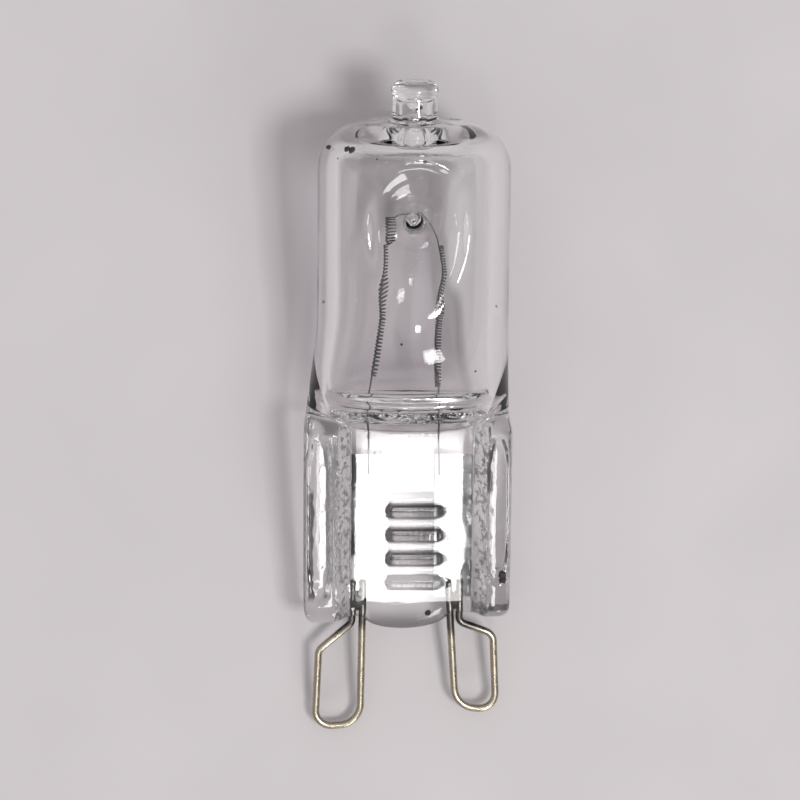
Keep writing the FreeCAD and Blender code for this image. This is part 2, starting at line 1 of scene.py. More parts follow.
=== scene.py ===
"""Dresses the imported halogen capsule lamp: clear glass, filament, contacts, dust and stage."""

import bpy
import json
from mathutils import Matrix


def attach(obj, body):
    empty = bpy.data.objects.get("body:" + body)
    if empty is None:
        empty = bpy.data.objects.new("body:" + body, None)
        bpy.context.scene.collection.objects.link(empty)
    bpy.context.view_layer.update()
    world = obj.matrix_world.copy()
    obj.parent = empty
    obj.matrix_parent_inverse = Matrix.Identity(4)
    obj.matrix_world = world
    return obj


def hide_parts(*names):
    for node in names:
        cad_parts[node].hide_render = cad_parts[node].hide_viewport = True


bl_info = {
    "name": "Capsule lamp",
    "version": (1, 0, 0),
    "blender": (4, 5, 0),
    "location": "3D View > Sidebar > Lamp",
    "description": "Models the glass, filament and contacts of a clear halogen capsule lamp",
    "category": "Object",
}

import json
import math

import bmesh
import bpy
from bpy.props import FloatProperty, FloatVectorProperty, IntProperty, PointerProperty
from mathutils import Matrix, Vector, noise

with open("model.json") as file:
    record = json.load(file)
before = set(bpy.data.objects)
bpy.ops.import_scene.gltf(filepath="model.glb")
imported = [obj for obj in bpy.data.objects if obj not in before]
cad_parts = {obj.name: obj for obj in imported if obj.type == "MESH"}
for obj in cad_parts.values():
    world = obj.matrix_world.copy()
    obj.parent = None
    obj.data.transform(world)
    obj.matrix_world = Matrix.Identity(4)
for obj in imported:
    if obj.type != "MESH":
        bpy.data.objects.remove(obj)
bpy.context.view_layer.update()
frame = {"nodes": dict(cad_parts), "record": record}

MM = 0.001
# Without a seed, noise_vector would start from the clock
NOISE_SEED = 1
noise.seed_set(NOISE_SEED)
# The pinch's face mount gives the way the lamp lies: its normal the tilt, its point the place
WEB_POINT = Vector((-3.0, 8.0, 1.2)) * MM
FACE = next(m for m in frame["record"]["mounts"] if m["name"] == "pinch_face")
TILT = math.atan2(-FACE["axis"][1], FACE["axis"][2])
TURN = Matrix.Rotation(TILT, 4, "X")
PLACE = Vector(FACE["pos_m"]) - TURN @ WEB_POINT
LAID = Matrix.Translation(PLACE) @ TURN


def length(name, millimetres, description):
    return FloatProperty(name=name, description=description, default=millimetres * MM,
                         unit="LENGTH", precision=5)


def height(name, millimetres, target):
    return length(name, millimetres, f"From the pinch's foot to {target}")


def count(name, number, description):
    return IntProperty(name=name, description=description, default=number, min=1)


def colour(name, rgb, description):
    return FloatVectorProperty(name=name, description=description, default=rgb, size=3,
                               min=0, max=1, subtype="COLOR")


class GlassSizes(bpy.types.PropertyGroup):
    bulb_radius: length("Bulb radius", 6.3, "Outside radius of the blown tube")
    bulb_wall: length("Bulb wall", 1.3, "Thickness of the tube's wall")
    dome_height: height("Dome height", 32.85, "the end of the dome")
    dome_wall: length("Dome wall", 1.5, "Thickness of the dome's end")
    shoulder_across: length("Shoulder across", 3.0, "How far the dome's shoulder rounds inwards")
    shoulder_along: length("Shoulder along", 3.1, "How far the dome's shoulder rounds downwards")
    cavity_corner: length("Cavity corner", 1.5, "Rounding of the gas space below the dome")
    tip_radius: length("Tip radius", 1.5, "Outside radius of the exhaust tip")
    tip_end: height("Tip end", 35.6, "the end of the exhaust tip")
    tip_rounding: length("Tip rounding", 0.7, "Rounding of the exhaust tip's end")
    tip_ball: length("Tip ball", 0.045, "How far the melted end stands out of the exhaust tip")
    tip_fillet: length("Tip fillet", 0.4, "Rounding between the dome and the exhaust tip")
    bore_radius: length("Bore radius", 0.85, "Radius of the bore in the exhaust tip")
    bore_end: height("Bore end", 34.45, "the top of the bore")
    seal_drop: length("Sealing drop", 0.6, "Radius of the melted drop that seals the bore")
    dimple_height: height("Dimple height", 26.5, "the dimples")
    dimple_bore: length("Dimple bore", 0.58, "Radius at the root of a dimple")
    dimple_across: length("Dimple reach across", 6.1, "How far a dimple's flare opens sideways")
    dimple_through: length("Dimple reach through", 5.5, "How deep a dimple's flare runs")
    dimple_wall: length("Dimple wall", 0.32, "Thickness of the glass at a dimple's root")
    dimple_rim: length("Dimple rim", 0.45, "Softness of the rim round a dimple")
    dome_moat: length("Dome moat", 0.07, "How far the dome sinks round the exhaust tip")
    dimple_root: length("Dimple root", 1.0, "Where the flare starts, from the lamp's middle")
    septum: length("Septum", 0.4, "Half of the glass left between the two dimples")
    neck_top: height("Neck top", 20.5, "where the tube is round")
    neck_foot: height("Neck foot", 12.5, "where the neck swells")
    neck_half_width: length("Neck half width", 6.75, "Half width of the neck at its foot")
    floor_height: height("Floor height", 13.45, "the gas space's floor")
    floor_half_width: length("Floor half width", 5.2, "Half width of the gas space's floor")
    floor_half_depth: length("Floor half depth", 0.6, "Half depth of the gas space's floor")
    floor_round: length("Floor rounding", 1.8, "Height over which the floor rounds to the wall")
    pinch_left: length("Pinch left", -7.2, "Left side of the pinch")
    pinch_right: length("Pinch right", 6.6, "Right side of the pinch")
    pinch_skew: length("Pinch skew", 0.45, "How much longer the left bead is")
    bead_half_depth: length("Bead half depth", 2.4, "Half depth of the side beads")
    bead_rounding: length("Bead rounding", 0.9, "Rounding of a bead's outer edges")
    web_half_width: length("Web half width", 4.2, "Half width of the web between the beads")
    web_half_depth: length("Web half depth", 1.2, "Half depth of the web")
    web_crown: length("Web crown", 0.03, "How far the web falls away towards its edges")
    web_fillet: length("Web fillet", 0.13, "How far the web rises towards the beads' flanks")
    flank_slope: length("Flank slope", 0.75, "How far a bead's inner flank leans")
    foot_rounding: length("Foot rounding", 0.8, "Rounding of the pinch's foot")
    nose_depth: length("Nose depth", 1.0, "How far the nose of glass hangs below the web")
    nose_half_width: length("Nose half width", 2.9, "Half width of the nose")
    nose_shift: length("Nose shift", -0.3, "The nose's middle, from the lamp's middle")
    bar_half_length: length("Bar half length", 1.92, "Half length of a raised bar")
    bar_half_width: length("Bar half width", 0.45, "Half width of a raised bar")
    bar_rise: length("Bar rise", 0.36, "How far a bar stands out of the web")
    bar_start: height("Bar start", 2.2, "the first bar")
    bar_pitch: length("Bar pitch", 1.63, "From one bar to the next")
    bar_shift: length("Bar shift", 0.18, "The bars' middle, from the lamp's middle")
    bar_count: count("Bars", 4, "Raised bars on each face of the web")
    panel_depth: length("Panel depth", 0.26, "How deep the oval panels of the beads are pressed")
    waviness: length("Waviness", 0.03, "How far the blown glass wanders from its true form")


class MetalSizes(bpy.types.PropertyGroup):
    contact_radius: length("Contact wire radius", 0.25, "Radius of the wire of the loops")
    contact_level: length("Contact level", 0.28, "The loops' level from the lamp's middle")
    lead_level: length("Lead level", 0.1, "The filament's level from the lamp's middle")
    filament_radius: length("Filament wire radius", 0.058, "Radius of the filament's wire")
    coil_radius: length("Coil radius", 0.185, "Radius of the coiled filament, to its wire's middle")
    grip_radius: length("Grip radius", 0.125, "Radius of the turns round a lead")
    bunch_radius: length("Bunch radius", 0.385, "Radius of the bunched turns")
    left_turns: count("Left turns", 37, "Turns of the left coil")
    bunch_turns: count("Bunch turns", 9, "Turns of the bunched coil")
    right_turns: count("Right turns", 48, "Turns of the right coil")


class Finish(bpy.types.PropertyGroup):
    glass: colour("Glass", (0.985, 0.985, 0.985), "Tint of the quartz glass")
    # Painted shade: the dark that the pinch's pressed glass shows by refraction and reflection, put
    # into its colour
    glass_painted_shade: colour("Glass in folds", (0.06, 0.057, 0.06), "What the folds of the pinch show")
    contact: colour("Contact wire", (0.46, 0.41, 0.32), "Bright metal of the loops")
    contact_dark: colour("Contact oxide", (0.13, 0.12, 0.11), "Oxidised metal near the glass")
    tungsten: colour("Tungsten", (0.05, 0.047, 0.047), "The filament's metal")
    foil: colour("Foil", (0.46, 0.46, 0.46), "The bright parts of the foils")
    # Painted shade: the dark of the foils' outer strips, where they show no reflected light through
    # the glass
    foil_painted_shade: colour("Foil welds", (0.03, 0.03, 0.03), "The welded, dark parts of the foils")
    # Also the painted shade at the bore's sealing drop
    soot_and_shade: colour("Soot", (0.012, 0.011, 0.011), "Dark oxide and dust")
    paper: colour("Paper", (0.556, 0.528, 0.534), "The pale paper under the lamp")


def smooth(low, high, number):
    t = min(max((number - low) / (high - low), 0), 1)
    return t * t * (3 - 2 * t)


def mixed(a, b, t):
    return a + (b - a) * t


def soft_larger(a, b, reach):
    """The larger of two numbers, with their crossing rounded over a reach."""
    h = max(reach - abs(a - b), 0) / reach
    return max(a, b) + h * h * reach / 4


def bezier(spots, t):
    """A point of the curve that leans towards the spots."""
    while len(spots) > 1:
        spots = [a.lerp(b, t) for a, b in zip(spots, spots[1:])]
    return spots[0]


def arc(across, along, across_radius, along_radius, first, last, steps):
    """Points (across, along) of an elliptical arc, without its first one; angles in degrees."""
    points = []
    for step in range(1, steps + 1):
        angle = math.radians(mixed(first, last, step / steps))
        points.append((across + across_radius * math.cos(angle),
                       along + along_radius * math.sin(angle)))
    return points


def straight(start, end, steps):
    """Points from a start to an end, without the start."""
    return [(mixed(start[0], end[0], i / steps), mixed(start[1], end[1], i / steps))
            for i in range(1, steps + 1)]


def resampled(points, steps):
    """Points at equal distances along a line of points."""
    runs = [math.dist(a, b) for a, b in zip(points, points[1:])]
    total = sum(runs)
    found = []
    for step in range(steps + 1):
        left = total * step / steps
        for i, run in enumerate(runs):
            if left <= run or i == len(runs) - 1:
                t = min(left / run, 1) if run else 0
                found.append((mixed(points[i][0], points[i + 1][0], t),
                              mixed(points[i][1], points[i + 1][1], t)))
                break
            left -= run
    return found


def laid(across, along, through):
    """A point given in the lamp's own frame, as it lies."""
    return LAID @ Vector((across, along, through))


def grid_surface(bm, columns, rows, place, skip=None):
    """A grid of faces whose corners are put where place(column, row) says."""
    made = bmesh.ops.create_grid(bm, x_segments=columns, y_segments=rows, size=1.0)["verts"]
    spots = {v: (round((v.co.x + 1) / 2 * columns), round((v.co.y + 1) / 2 * rows)) for v in made}
    if skip:
        inner = {f for v in made for f in v.link_faces}
        gone = [f for f in inner if all(skip(*spots[v]) for v in f.verts)]
        bmesh.ops.delete(bm, geom=gone, context="FACES")
    for vert, (column, row) in spots.items():
        if vert.is_valid:
            vert.co = place(column, row)
    return {v: spot for v, spot in spots.items() if v.is_valid}


def finished(name, bm, material, slot, *nodes):
    """An object of the mesh, smooth, riding on the lamp's body, in place of its CAD nodes."""
    mesh = bpy.data.meshes.new(name)
    bm.to_mesh(mesh)
    bm.free()
    mesh.shade_smooth()
    mesh.materials.append(material)
    piece = bpy.data.objects.new(name, mesh)
    bpy.context.scene.collection.objects.link(piece)
    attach(piece, "root")
    if nodes:
        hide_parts(*nodes)
    return piece


# Glass

BEAD_COLUMNS = 32
WEB_COLUMNS = 64
HALF_COLUMNS = 2 * BEAD_COLUMNS + WEB_COLUMNS
# The web's columns crowd together where its raised bars are
WEB_EDGE_COLUMNS = 6
BAR_ZONE = 0.52
INNER_HALF = 100
RIM_ROWS = 10
FLARE_ROWS = 16
ROOT_ROWS = 3
FLARE_END = math.radians(72)
# How steeply the skin runs on past the end of the flare
RIM_SLOPE = 0.32
PATCH_BELOW = 5.95 * MM
SMOOTHING_PASSES = 14
WELD_DISTANCE = 2e-6
# How strongly each bar is ribbed, from the foot up, and the distance from rib to rib
RIBS = (0.03, 0.1, 0.2, 0.06)
RIB_PITCH = 0.37 * MM
# Middle across, half width, middle along and half length of each bead's oval, in millimetres
PANELS = ((-6.15, 0.78, 6.85, 5.8), (5.62, 0.76, 7.4, 5.1))
# Middle across and along, reach across and along and rise of each ring in the gas space's
# floor, in millimetres
EDDIES = ((-1.5, 14.1, 1.6, 0.6, 0.11), (-3.7, 14.05, 0.9, 0.5, 0.09), (0.6, 14.1, 0.6, 0.5, 0.07),
          (2.75, 14.1, 1.2, 0.55, 0.1), (4.6, 14.4, 0.6, 0.6, 0.08))
# Fineness and strength of the two waves in the blown glass
WAVES = ((230, 1), (800, 0.05))
FLANK_GRAIN, FLANK_RELIEF = 2600, 0.07 * MM
# The pinch's section turns into the neck's from this far below the floor to this far above
BLEND_BELOW, BLEND_ABOVE = 0.95 * MM, 0.35 * MM
WEB_MIDDLE = -0.13 * MM
# Where the web's rise towards the beads starts and ends, from its middle
FILLET_START, FILLET_END = 3.75 * MM, 4.3 * MM
SOFT_EDGE = 0.3 * MM


def web_share(index):
    """Sideways place of a column of the web, from -1 at its left edge to 1."""
    column = index - BEAD_COLUMNS
    inset = min(column, WEB_COLUMNS - column)
    if inset < WEB_EDGE_COLUMNS:
        away = mixed(1, BAR_ZONE, inset / WEB_EDGE_COLUMNS)
    else:
        half = WEB_COLUMNS / 2
        away = BAR_ZONE * (half - inset) / (half - WEB_EDGE_COLUMNS)
    return -away if column < WEB_COLUMNS / 2 else away


class Skin:
    """What both skins of the glass share: the shoulder and the front patch for the dimple."""

    def surface_depth(self, across, along):
        """Level of the front of the turned part at a place."""
        wide, tall = self.corner
        rise = max(along - (self.top - tall), 0) / tall
        radius = self.radius - wide * (1 - math.sqrt(max(1 - rise * rise, 0)))
        return math.sqrt(max(radius ** 2 - across ** 2, 0))

    def frame(self):
        """Columns and rows of the patch; PATCH is its half width, top and margin in mm."""
        wide, above, margin = (size * MM for size in self.PATCH)
        middle = self.g.dimple_height
        columns = [i for i, angle in enumerate(self.front)
                   if abs(self.radius * math.cos(angle)) <= wide]
        rows = [j for j, (kind, radius, along) in enumerate(self.rows)
                if kind == "turned" and middle - PATCH_BELOW < along < middle + above
                and radius > wide + margin]
        return columns[0], columns[-1], rows[0], rows[-1]

    def ellipse(self, along, foot, half_width, half_depth):
        """Middle, half width and half depth of the neck at a height."""
        g = self.g
        part = min(max((along - foot) / (g.neck_top - foot), 0), 1)
        spread = (1 - part) ** 2 * (1 + 2 * part)
        middle = (g.pinch_left + g.pinch_right) / 2 * spread
        swell = math.sin(part * math.pi / 2)
        return (middle, mixed(self.radius, half_width, spread),
                mixed(half_depth, self.radius, swell))


class Outside(Skin):
    """The outer skin of the glass: its rows from the tip down to the pinch's foot."""

    PATCH = (4.2, 5.2, 0.4)

    def __init__(self, g):
        self.g = g
        self.radius, self.top = g.bulb_radius, g.dome_height
        self.corner = (g.shoulder_across, g.shoulder_along)
        self.rows = self.list_rows()
        self.bead = self.bead_outline()
        self.front = [self.tube_angle(i) for i in range(HALF_COLUMNS + 1)]

    def list_rows(self):
        g = self.g
        tip = [(0.0, g.tip_end)]
        ball = g.tip_radius + g.tip_ball
        waist = g.tip_end - 1.4 * g.tip_rounding
        tip += straight(tip[-1], (ball - g.tip_rounding, g.tip_end), 3)
        tip += arc(ball - g.tip_rounding, g.tip_end - g.tip_rounding,
                   g.tip_rounding, g.tip_rounding, 90, -12, 9)
        tip += straight(tip[-1], (g.tip_radius - g.tip_ball, waist), 3)
        tip += straight(tip[-1], (g.tip_radius, g.dome_height + g.tip_fillet), 5)
        tip += arc(g.tip_radius + g.tip_fillet, g.dome_height + g.tip_fillet,
                   g.tip_fillet, g.tip_fillet, 180, 270, 5)
        dome = g.bulb_radius - g.shoulder_across
        base = tip[-1][0]
        tip += [(radius, along - g.dome_moat * math.sin(math.pi * (radius - base) / (dome - base)))
                for radius, along in straight(tip[-1], (dome, g.dome_height), 7)]
        tip += arc(dome, g.dome_height - g.shoulder_along, g.shoulder_across,
                   g.shoulder_along, 90, 0, 18)
        tip += straight(tip[-1], (g.bulb_radius, g.neck_top), 24)
        rows = [("turned", radius, along) for radius, along in tip]
        # Where each zone of rows ends, and about how far apart its rows are in millimetres
        for low, apart in ((g.floor_height + 0.4 * MM, 0.3), (g.neck_foot, 0.1),
                           (g.bar_start + 6 * MM, 0.16), (g.bar_start - 0.9 * MM, 0.085),
                           (g.foot_rounding, 0.16)):
            start = rows[-1][2]
            steps = max(1, round((start - low) / (apart * MM)))
            rows += [("pressed", 0, mixed(start, low, i / steps)) for i in range(1, steps + 1)]
        rows += [("foot", angle, 0) for angle in range(0, 91, 15)]
        rows += [("close", 1 - i / 6, 0) for i in range(1, 7)]
        return rows

    def tube_angle(self, index):
        """Angle round the tube of one column of the front half, from left to right."""
        g = self.g
        edge = math.acos(g.web_half_width / g.neck_half_width)
        if index < BEAD_COLUMNS:
            return math.pi - edge * index / BEAD_COLUMNS
        if index > HALF_COLUMNS - BEAD_COLUMNS:
            return edge * (HALF_COLUMNS - index) / BEAD_COLUMNS
        return math.acos(web_share(index) * g.web_half_width / g.neck_half_width)

    def bead_outline(self):
        """Half of a bead's section for each side, from its outer side to the web."""
        g = self.g
        lip = Vector((g.web_half_width + g.flank_slope, g.bead_half_depth))
        root = Vector((g.web_half_width, g.web_half_depth))
        level, slope = Vector((SOFT_EDGE, 0)), (lip - root).normalized() * SOFT_EDGE
        turned = g.bead_rounding
        sides = []
        for edge in (-g.pinch_left, g.pinch_right):
            points = [(edge, 0.0), (edge, lip.y - turned)]
            points += arc(edge - turned, lip.y - turned, turned, turned, 0, 90, 8)
            for spots in ((lip + level, lip, lip - slope), (root + slope, root, root - level)):
                points += [tuple(bezier(spots, i / 4)) for i in range(5)]
            sides.append(resampled(points, BEAD_COLUMNS))
        return sides

    def bars(self, across, along):
        """How far the raised bars lift the web, with fine ribs along each."""
        g = self.g
        reach = abs(across - g.bar_shift) - (g.bar_half_length - g.bar_half_width)
        number = min(max(round((along - g.bar_start) / g.bar_pitch), 0), g.bar_count - 1)
        off = abs(along - g.bar_start - number * g.bar_pitch)
        away = math.hypot(max(reach, 0), off) / g.bar_half_width
        lift = 1 - smooth(0.62, 1.08, away)
        ribs = RIBS[number] * math.cos(2 * math.pi * (across - g.bar_shift) / RIB_PITCH)
        return g.bar_rise * lift * (1 + ribs)

    def panels(self, across, through, along):
        """How deep the long oval panels are pressed into the tops of the beads."""
        g = self.g
        if through < g.web_half_depth:
            return 0
        middle, wide, height, long = PANELS[across > 0]
        away = abs((across / MM - middle) / wide) ** 2.4 + abs((along / MM - height) / long) ** 4
        return g.panel_depth * (1 - smooth(0.66, 1.05, away))

    def section(self, index, along):
        """Across and through, front side, of a column on the neck or the pinch."""
        g = self.g
        middle, wide, deep = self.ellipse(along, g.neck_foot, g.neck_half_width, g.web_half_depth)
        angle = self.front[index]
        round_spot = (middle + wide * math.cos(angle), deep * math.sin(angle))
        blend = smooth(g.floor_height - BLEND_BELOW, g.floor_height + BLEND_ABOVE, along)
        if index < BEAD_COLUMNS:
            spot = self.bead[0][index]
            flat = (-spot[0], spot[1])
        elif index > HALF_COLUMNS - BEAD_COLUMNS:
            flat = self.bead[1][HALF_COLUMNS - index]
        else:
            web = web_share(index)
            inset = self.bead[0][-1][0]
            across = mixed(web * inset, round_spot[0], blend)
            lifted = g.web_half_depth + self.bars(across, along)
            lifted -= g.web_crown * (web ** 2 + max(0.55 - along / g.neck_foot, 0) ** 2)
            lifted += g.web_fillet * smooth(FILLET_START, FILLET_END, abs(across - WEB_MIDDLE))
            reach = 0.5 * MM * smooth(g.neck_foot, g.neck_foot + 1 * MM, along) + 1e-6
            return across, soft_larger(lifted, round_spot[1], reach)
        flat = (flat[0], flat[1] - self.panels(*flat, along))
        across = mixed(flat[0], round_spot[0], blend)
        through = mixed(flat[1], round_spot[1], blend)
        if flat[1] < round_spot[1] and abs(flat[0]) < abs(g.pinch_right) - g.bead_rounding:
            through = soft_larger(flat[1], round_spot[1], SOFT_EDGE)
        return across, through

    def foot(self, across):
        """Height of the pinch's foot, which is lower on the left."""
        g = self.g
        return -g.pinch_skew * (g.pinch_right - across) / (g.pinch_right - g.pinch_left)

    def nose(self, across, through):
        g = self.g
        x = (across - g.nose_shift) / g.nose_half_width
        z = through / g.web_half_depth
        return g.nose_depth * math.sqrt(max(1 - x * x - 0.55 * z * z, 0))

    def foot_spot(self, kind, amount, index):
        """Across, along and through of a column on the rounded, closing foot."""
        g = self.g
        across, through = self.section(index, g.foot_rounding)
        angle = math.radians(amount if kind == "foot" else 90)
        inset = g.foot_rounding * (1 - math.cos(angle))
        drop = g.foot_rounding * math.sin(angle)
        across = min(max(across, g.pinch_left + inset), g.pinch_right - inset)
        through = max(through - inset, 0)
        if kind == "close":
            through *= amount
        along = g.foot_rounding - drop + self.foot(across) * drop / g.foot_rounding
        return across, along - self.nose(across, through) * drop / g.foot_rounding, through

    def spot(self, column, row):
        """Place in the lamp's frame of one corner of the skin."""
        kind, amount, along = self.rows[row]
        column %= 2 * HALF_COLUMNS
        back = column > HALF_COLUMNS
        index = 2 * HALF_COLUMNS - column if back else column
        if kind == "turned":
            angle = self.front[index]
            across, through = amount * math.cos(angle), amount * math.sin(angle)
        elif kind == "pressed":
            across, through = self.section(index, along)
        else:
            across, along, through = self.foot_spot(kind, amount, index)
        return Vector((across, along, -through if back else through))


class Inside(Skin):
    """The inner skin: the gas space from the sealed bore down to its floor."""

    PATCH = (3.6, 4.65, 0.5)

    def __init__(self, g):
        self.g = g
        self.radius = g.bulb_radius - g.bulb_wall
        self.top = g.dome_height - g.dome_wall
        self.corner = (g.cavity_corner, g.cavity_corner)
        self.front = [self.angle(i) for i in range(INNER_HALF + 1)]
        self.rows = self.list_rows()

    def angle(self, column):
        return math.pi - math.pi * column / INNER_HALF

    def list_rows(self):
        g, top = self.g, self.top
        soft = 0.25 * MM
        hang = 1.4 * g.seal_drop
        rows = [(0.0, g.bore_end - hang)]
        rows += arc(0, g.bore_end, g.seal_drop, hang, -90, 0, 8)
        rows += straight(rows[-1], (g.bore_radius, g.bore_end), 2)
        rows += straight(rows[-1], (g.bore_radius, top + soft), 6)
        rows += arc(g.bore_radius + soft, top + soft, soft, soft, 180, 270, 4)
        rows += straight(rows[-1], (self.radius - g.cavity_corner, top), 6)
        rows += arc(self.radius - g.cavity_corner, top - g.cavity_corner, g.cavity_corner,
                    g.cavity_corner, 90, 0, 10)
        rows += straight(rows[-1], (self.radius, g.neck_top), 26)
        listed = [("turned", radius, along) for radius, along in rows]
        low = g.floor_height + g.floor_round
        listed += [("neck", 0, mixed(g.neck_top, low, i / 20)) for i in range(1, 21)]
        listed += [("neck", 0, g.floor_height + g.floor_round * (1 - math.sin(i * math.pi / 56)))
                   for i in range(1, 29)]
        return listed

    def bowl(self, along):
        """Middle, half width and half depth of the neck's cavity, with a pocket over its floor."""
        g = self.g
        rise = along - g.floor_height
        bowl = math.sqrt(max(1 - (1 - min(rise / g.floor_round, 1)) ** 2, 0))
        pocket = 1.0
        for swell, level, reach in ((0.35, 0.8 * MM, 0.45 * MM), (-0.3, 1.65 * MM, 0.4 * MM)):
            pocket += swell * math.exp(-((rise - level) / reach) ** 2)
        middle, wide, deep = self.ellipse(
            along, g.floor_height, g.floor_half_width, g.floor_half_depth)
        return middle, wide * mixed(0.93, 1, bowl), deep * bowl * pocket

    def spot(self, column, row):
        kind, radius, along = self.rows[row]
        angle = self.angle(column)
        if kind == "turned":
            return Vector((radius * math.cos(angle), along, radius * math.sin(angle)))
        middle, wide, deep = self.bowl(along)
        across = middle + wide * math.cos(angle)
        return Vector((across, along, deep * math.sin(angle))) + self.eddies(across, along, angle)

    def eddies(self, across, along, angle):
        """Rings in the floor where the soft glass closed round the leads."""
        lift = 0.0
        for middle, height, wide, tall, rise in EDDIES:
            away = math.hypot((across / MM - middle) / wide, (along / MM - height) / tall)
            lift += rise * MM * math.cos(4 * math.pi * away) * math.exp(-1.2 * away * away)
        return Vector((0, 0.2 * lift, lift * math.sin(angle)))


def frame_loop(frame_box):
    """Corners of the patch's edge, once round: (column, row)."""
    left, right, top, bottom = frame_box
    loop = [(i, top) for i in range(left, right)]
    loop += [(right, j) for j in range(top, bottom)]
    loop += [(i, bottom) for i in range(right, left, -1)]
    loop += [(left, j) for j in range(bottom, top, -1)]
    return loop


def dimple_spot(g, angle, turn, wall):
    """A point on a dimple's flare: angle 0 at its root, opening outwards, at a wall's depth."""
    full = math.asin(min((g.bulb_radius - g.dimple_root) / g.dimple_through, 1))
    depth = wall * mixed(g.dimple_wall, g.bulb_wall, smooth(0, 1, angle / full))
    run = Vector((g.dimple_across * math.sin(angle), g.dimple_through * math.cos(angle)))
    run.normalize()
    out = g.dimple_bore + g.dimple_across * (1 - math.cos(angle)) + run.y * depth
    level = g.dimple_root + g.dimple_through * math.sin(angle) - run.x * depth
    return Vector((out * math.cos(turn), g.dimple_height + out * math.sin(turn), level))


def flare_angle(g, turn, wall, too_far):
    """The last angle of the flare before too_far(point) holds."""
    inner, outer = 0.0, FLARE_END
    for _ in range(30):
        middle = (inner + outer) / 2
        if too_far(dimple_spot(g, middle, turn, wall)):
            outer = middle
        else:
            inner = middle
    return inner


def trumpet_patch(bm, skin, wall):
    """The front dimple: from the patch's edge over a soft rim and down the trumpet.

    Wall is 0 for the outer skin and 1 for the inner one, a wall's thickness below it.
    """
    g = skin.g
    edge = [skin.spot(*corner) for corner in frame_loop(skin.frame())]
    root = g.dimple_bore + wall * g.dimple_wall
    centre, lowest = g.dimple_height, g.dimple_root
    low = (1 - wall) * g.septum
    rims = []
    for spot in edge:
        turn = math.atan2(spot.y - centre, spot.x)
        rims.append((flare_angle(
            g, turn, wall, lambda p: p.z > skin.surface_depth(p.x, p.y)), turn))
    total = RIM_ROWS + FLARE_ROWS + ROOT_ROWS + (1 - wall)

    def beyond(point, turn):
        """Level of the flare at a point's distance; past its rim it goes on at a slope."""
        away = math.hypot(point.x, point.y - centre)
        angle = flare_angle(g, turn, wall, lambda p: math.hypot(p.x, p.y - centre) > away)
        last = dimple_spot(g, angle, turn, wall)
        slope = RIM_SLOPE * max(away - math.hypot(last.x, last.y - centre), 0)
        return last.z + slope

    def softened(point, flare, edge_share):
        """The lower of the tube and the flare, their crossing rounded away from the edge."""
        reach = g.dimple_rim * smooth(0, 0.9, edge_share) + 1e-9
        point.z = -soft_larger(-skin.surface_depth(point.x, point.y), -flare, reach)
        return point

    def place(column, row):
        column %= len(edge)
        angle, turn = rims[column]
        if row == 0:
            return edge[column].copy()
        if row <= RIM_ROWS:
            point = edge[column].lerp(dimple_spot(g, angle, turn, wall), row / RIM_ROWS)
            return softened(point, beyond(point, turn), row / RIM_ROWS)
        if row <= RIM_ROWS + FLARE_ROWS:
            point = dimple_spot(g, angle * (1 - (row - RIM_ROWS) / FLARE_ROWS), turn, wall)
            return softened(point, point.z, 1)
        if row <= RIM_ROWS + FLARE_ROWS + ROOT_ROWS:
            part = (row - RIM_ROWS - FLARE_ROWS) / ROOT_ROWS
            return Vector((root * math.cos(turn), centre + root * math.sin(turn),
                           mixed(lowest, low, part)))
        return Vector((0, centre, low))

    spots = grid_surface(bm, len(edge), total, place)
    soft = [v for v, (_, row) in spots.items() if 1 < row < RIM_ROWS + 8]
    bmesh.ops.remove_doubles(bm, verts=list(spots), dist=1e-6)
    return [v for v in soft if v.is_valid]


def joined(bm, other):
    """Takes another mesh's faces over into the first, and frees it."""
    held = bpy.data.meshes.new("held")
    other.to_mesh(held)
    other.free()
    bm.from_mesh(held)
    bpy.data.meshes.remove(held)


def skin_mesh(skin, half_columns, wall):
    """One closed skin of the glass with its dimples, front and back."""
    bm = bmesh.new()
    left, right, top, bottom = skin.frame()
    back = 2 * half_columns

    def dimpled(column, row):
        return top <= row <= bottom and (
            left <= column <= right or back - right <= column <= back - left
        )

    grid_surface(bm, back, len(skin.rows) - 1, skin.spot, skip=dimpled)
    loose = [v for v in bm.verts if not v.link_faces]
    bmesh.ops.delete(bm, geom=loose, context="VERTS")
    patch = bmesh.new()
    rim = trumpet_patch(patch, skin, wall)
    for _ in range(SMOOTHING_PASSES):
        bmesh.ops.smooth_vert(patch, verts=rim, factor=0.5, use_axis_x=True, use_axis_y=True,
                              use_axis_z=True)
    mirrored = patch.copy()
    for vert in mirrored.verts:
        vert.co.z = -vert.co.z
    joined(bm, patch)
    joined(bm, mirrored)
    bmesh.ops.remove_doubles(bm, verts=bm.verts, dist=WELD_DISTANCE)
    bmesh.ops.dissolve_degenerate(bm, edges=bm.edges, dist=1e-7)
    bmesh.ops.recalc_face_normals(bm, faces=bm.faces)
    return bm


def wander(bm, g, keep_below):
    """Lets the blown part of the glass wander a little, as hand-blown quartz does."""
    for vert in bm.verts:
        part = smooth(keep_below, keep_below + 3 * MM, vert.co.y)
        vert.co += sum((noise.noise_vector(vert.co * scale) * g.waviness * strength
                        for scale, strength in WAVES), Vector()) * part


def roughen_flanks(bm, g):
    """Breaks up the pressed flanks of the beads, which came out of the tool rough."""
    middle = g.web_half_width + g.flank_slope / 2
    for vert in bm.verts:
        if not 0 < vert.co.y < g.floor_height:
            continue
        part = 1 - smooth(0.35 * MM, 0.7 * MM, abs(abs(vert.co.x) - middle))
        vert.co += noise.noise_vector(vert.co * FLANK_GRAIN) * FLANK_RELIEF * part


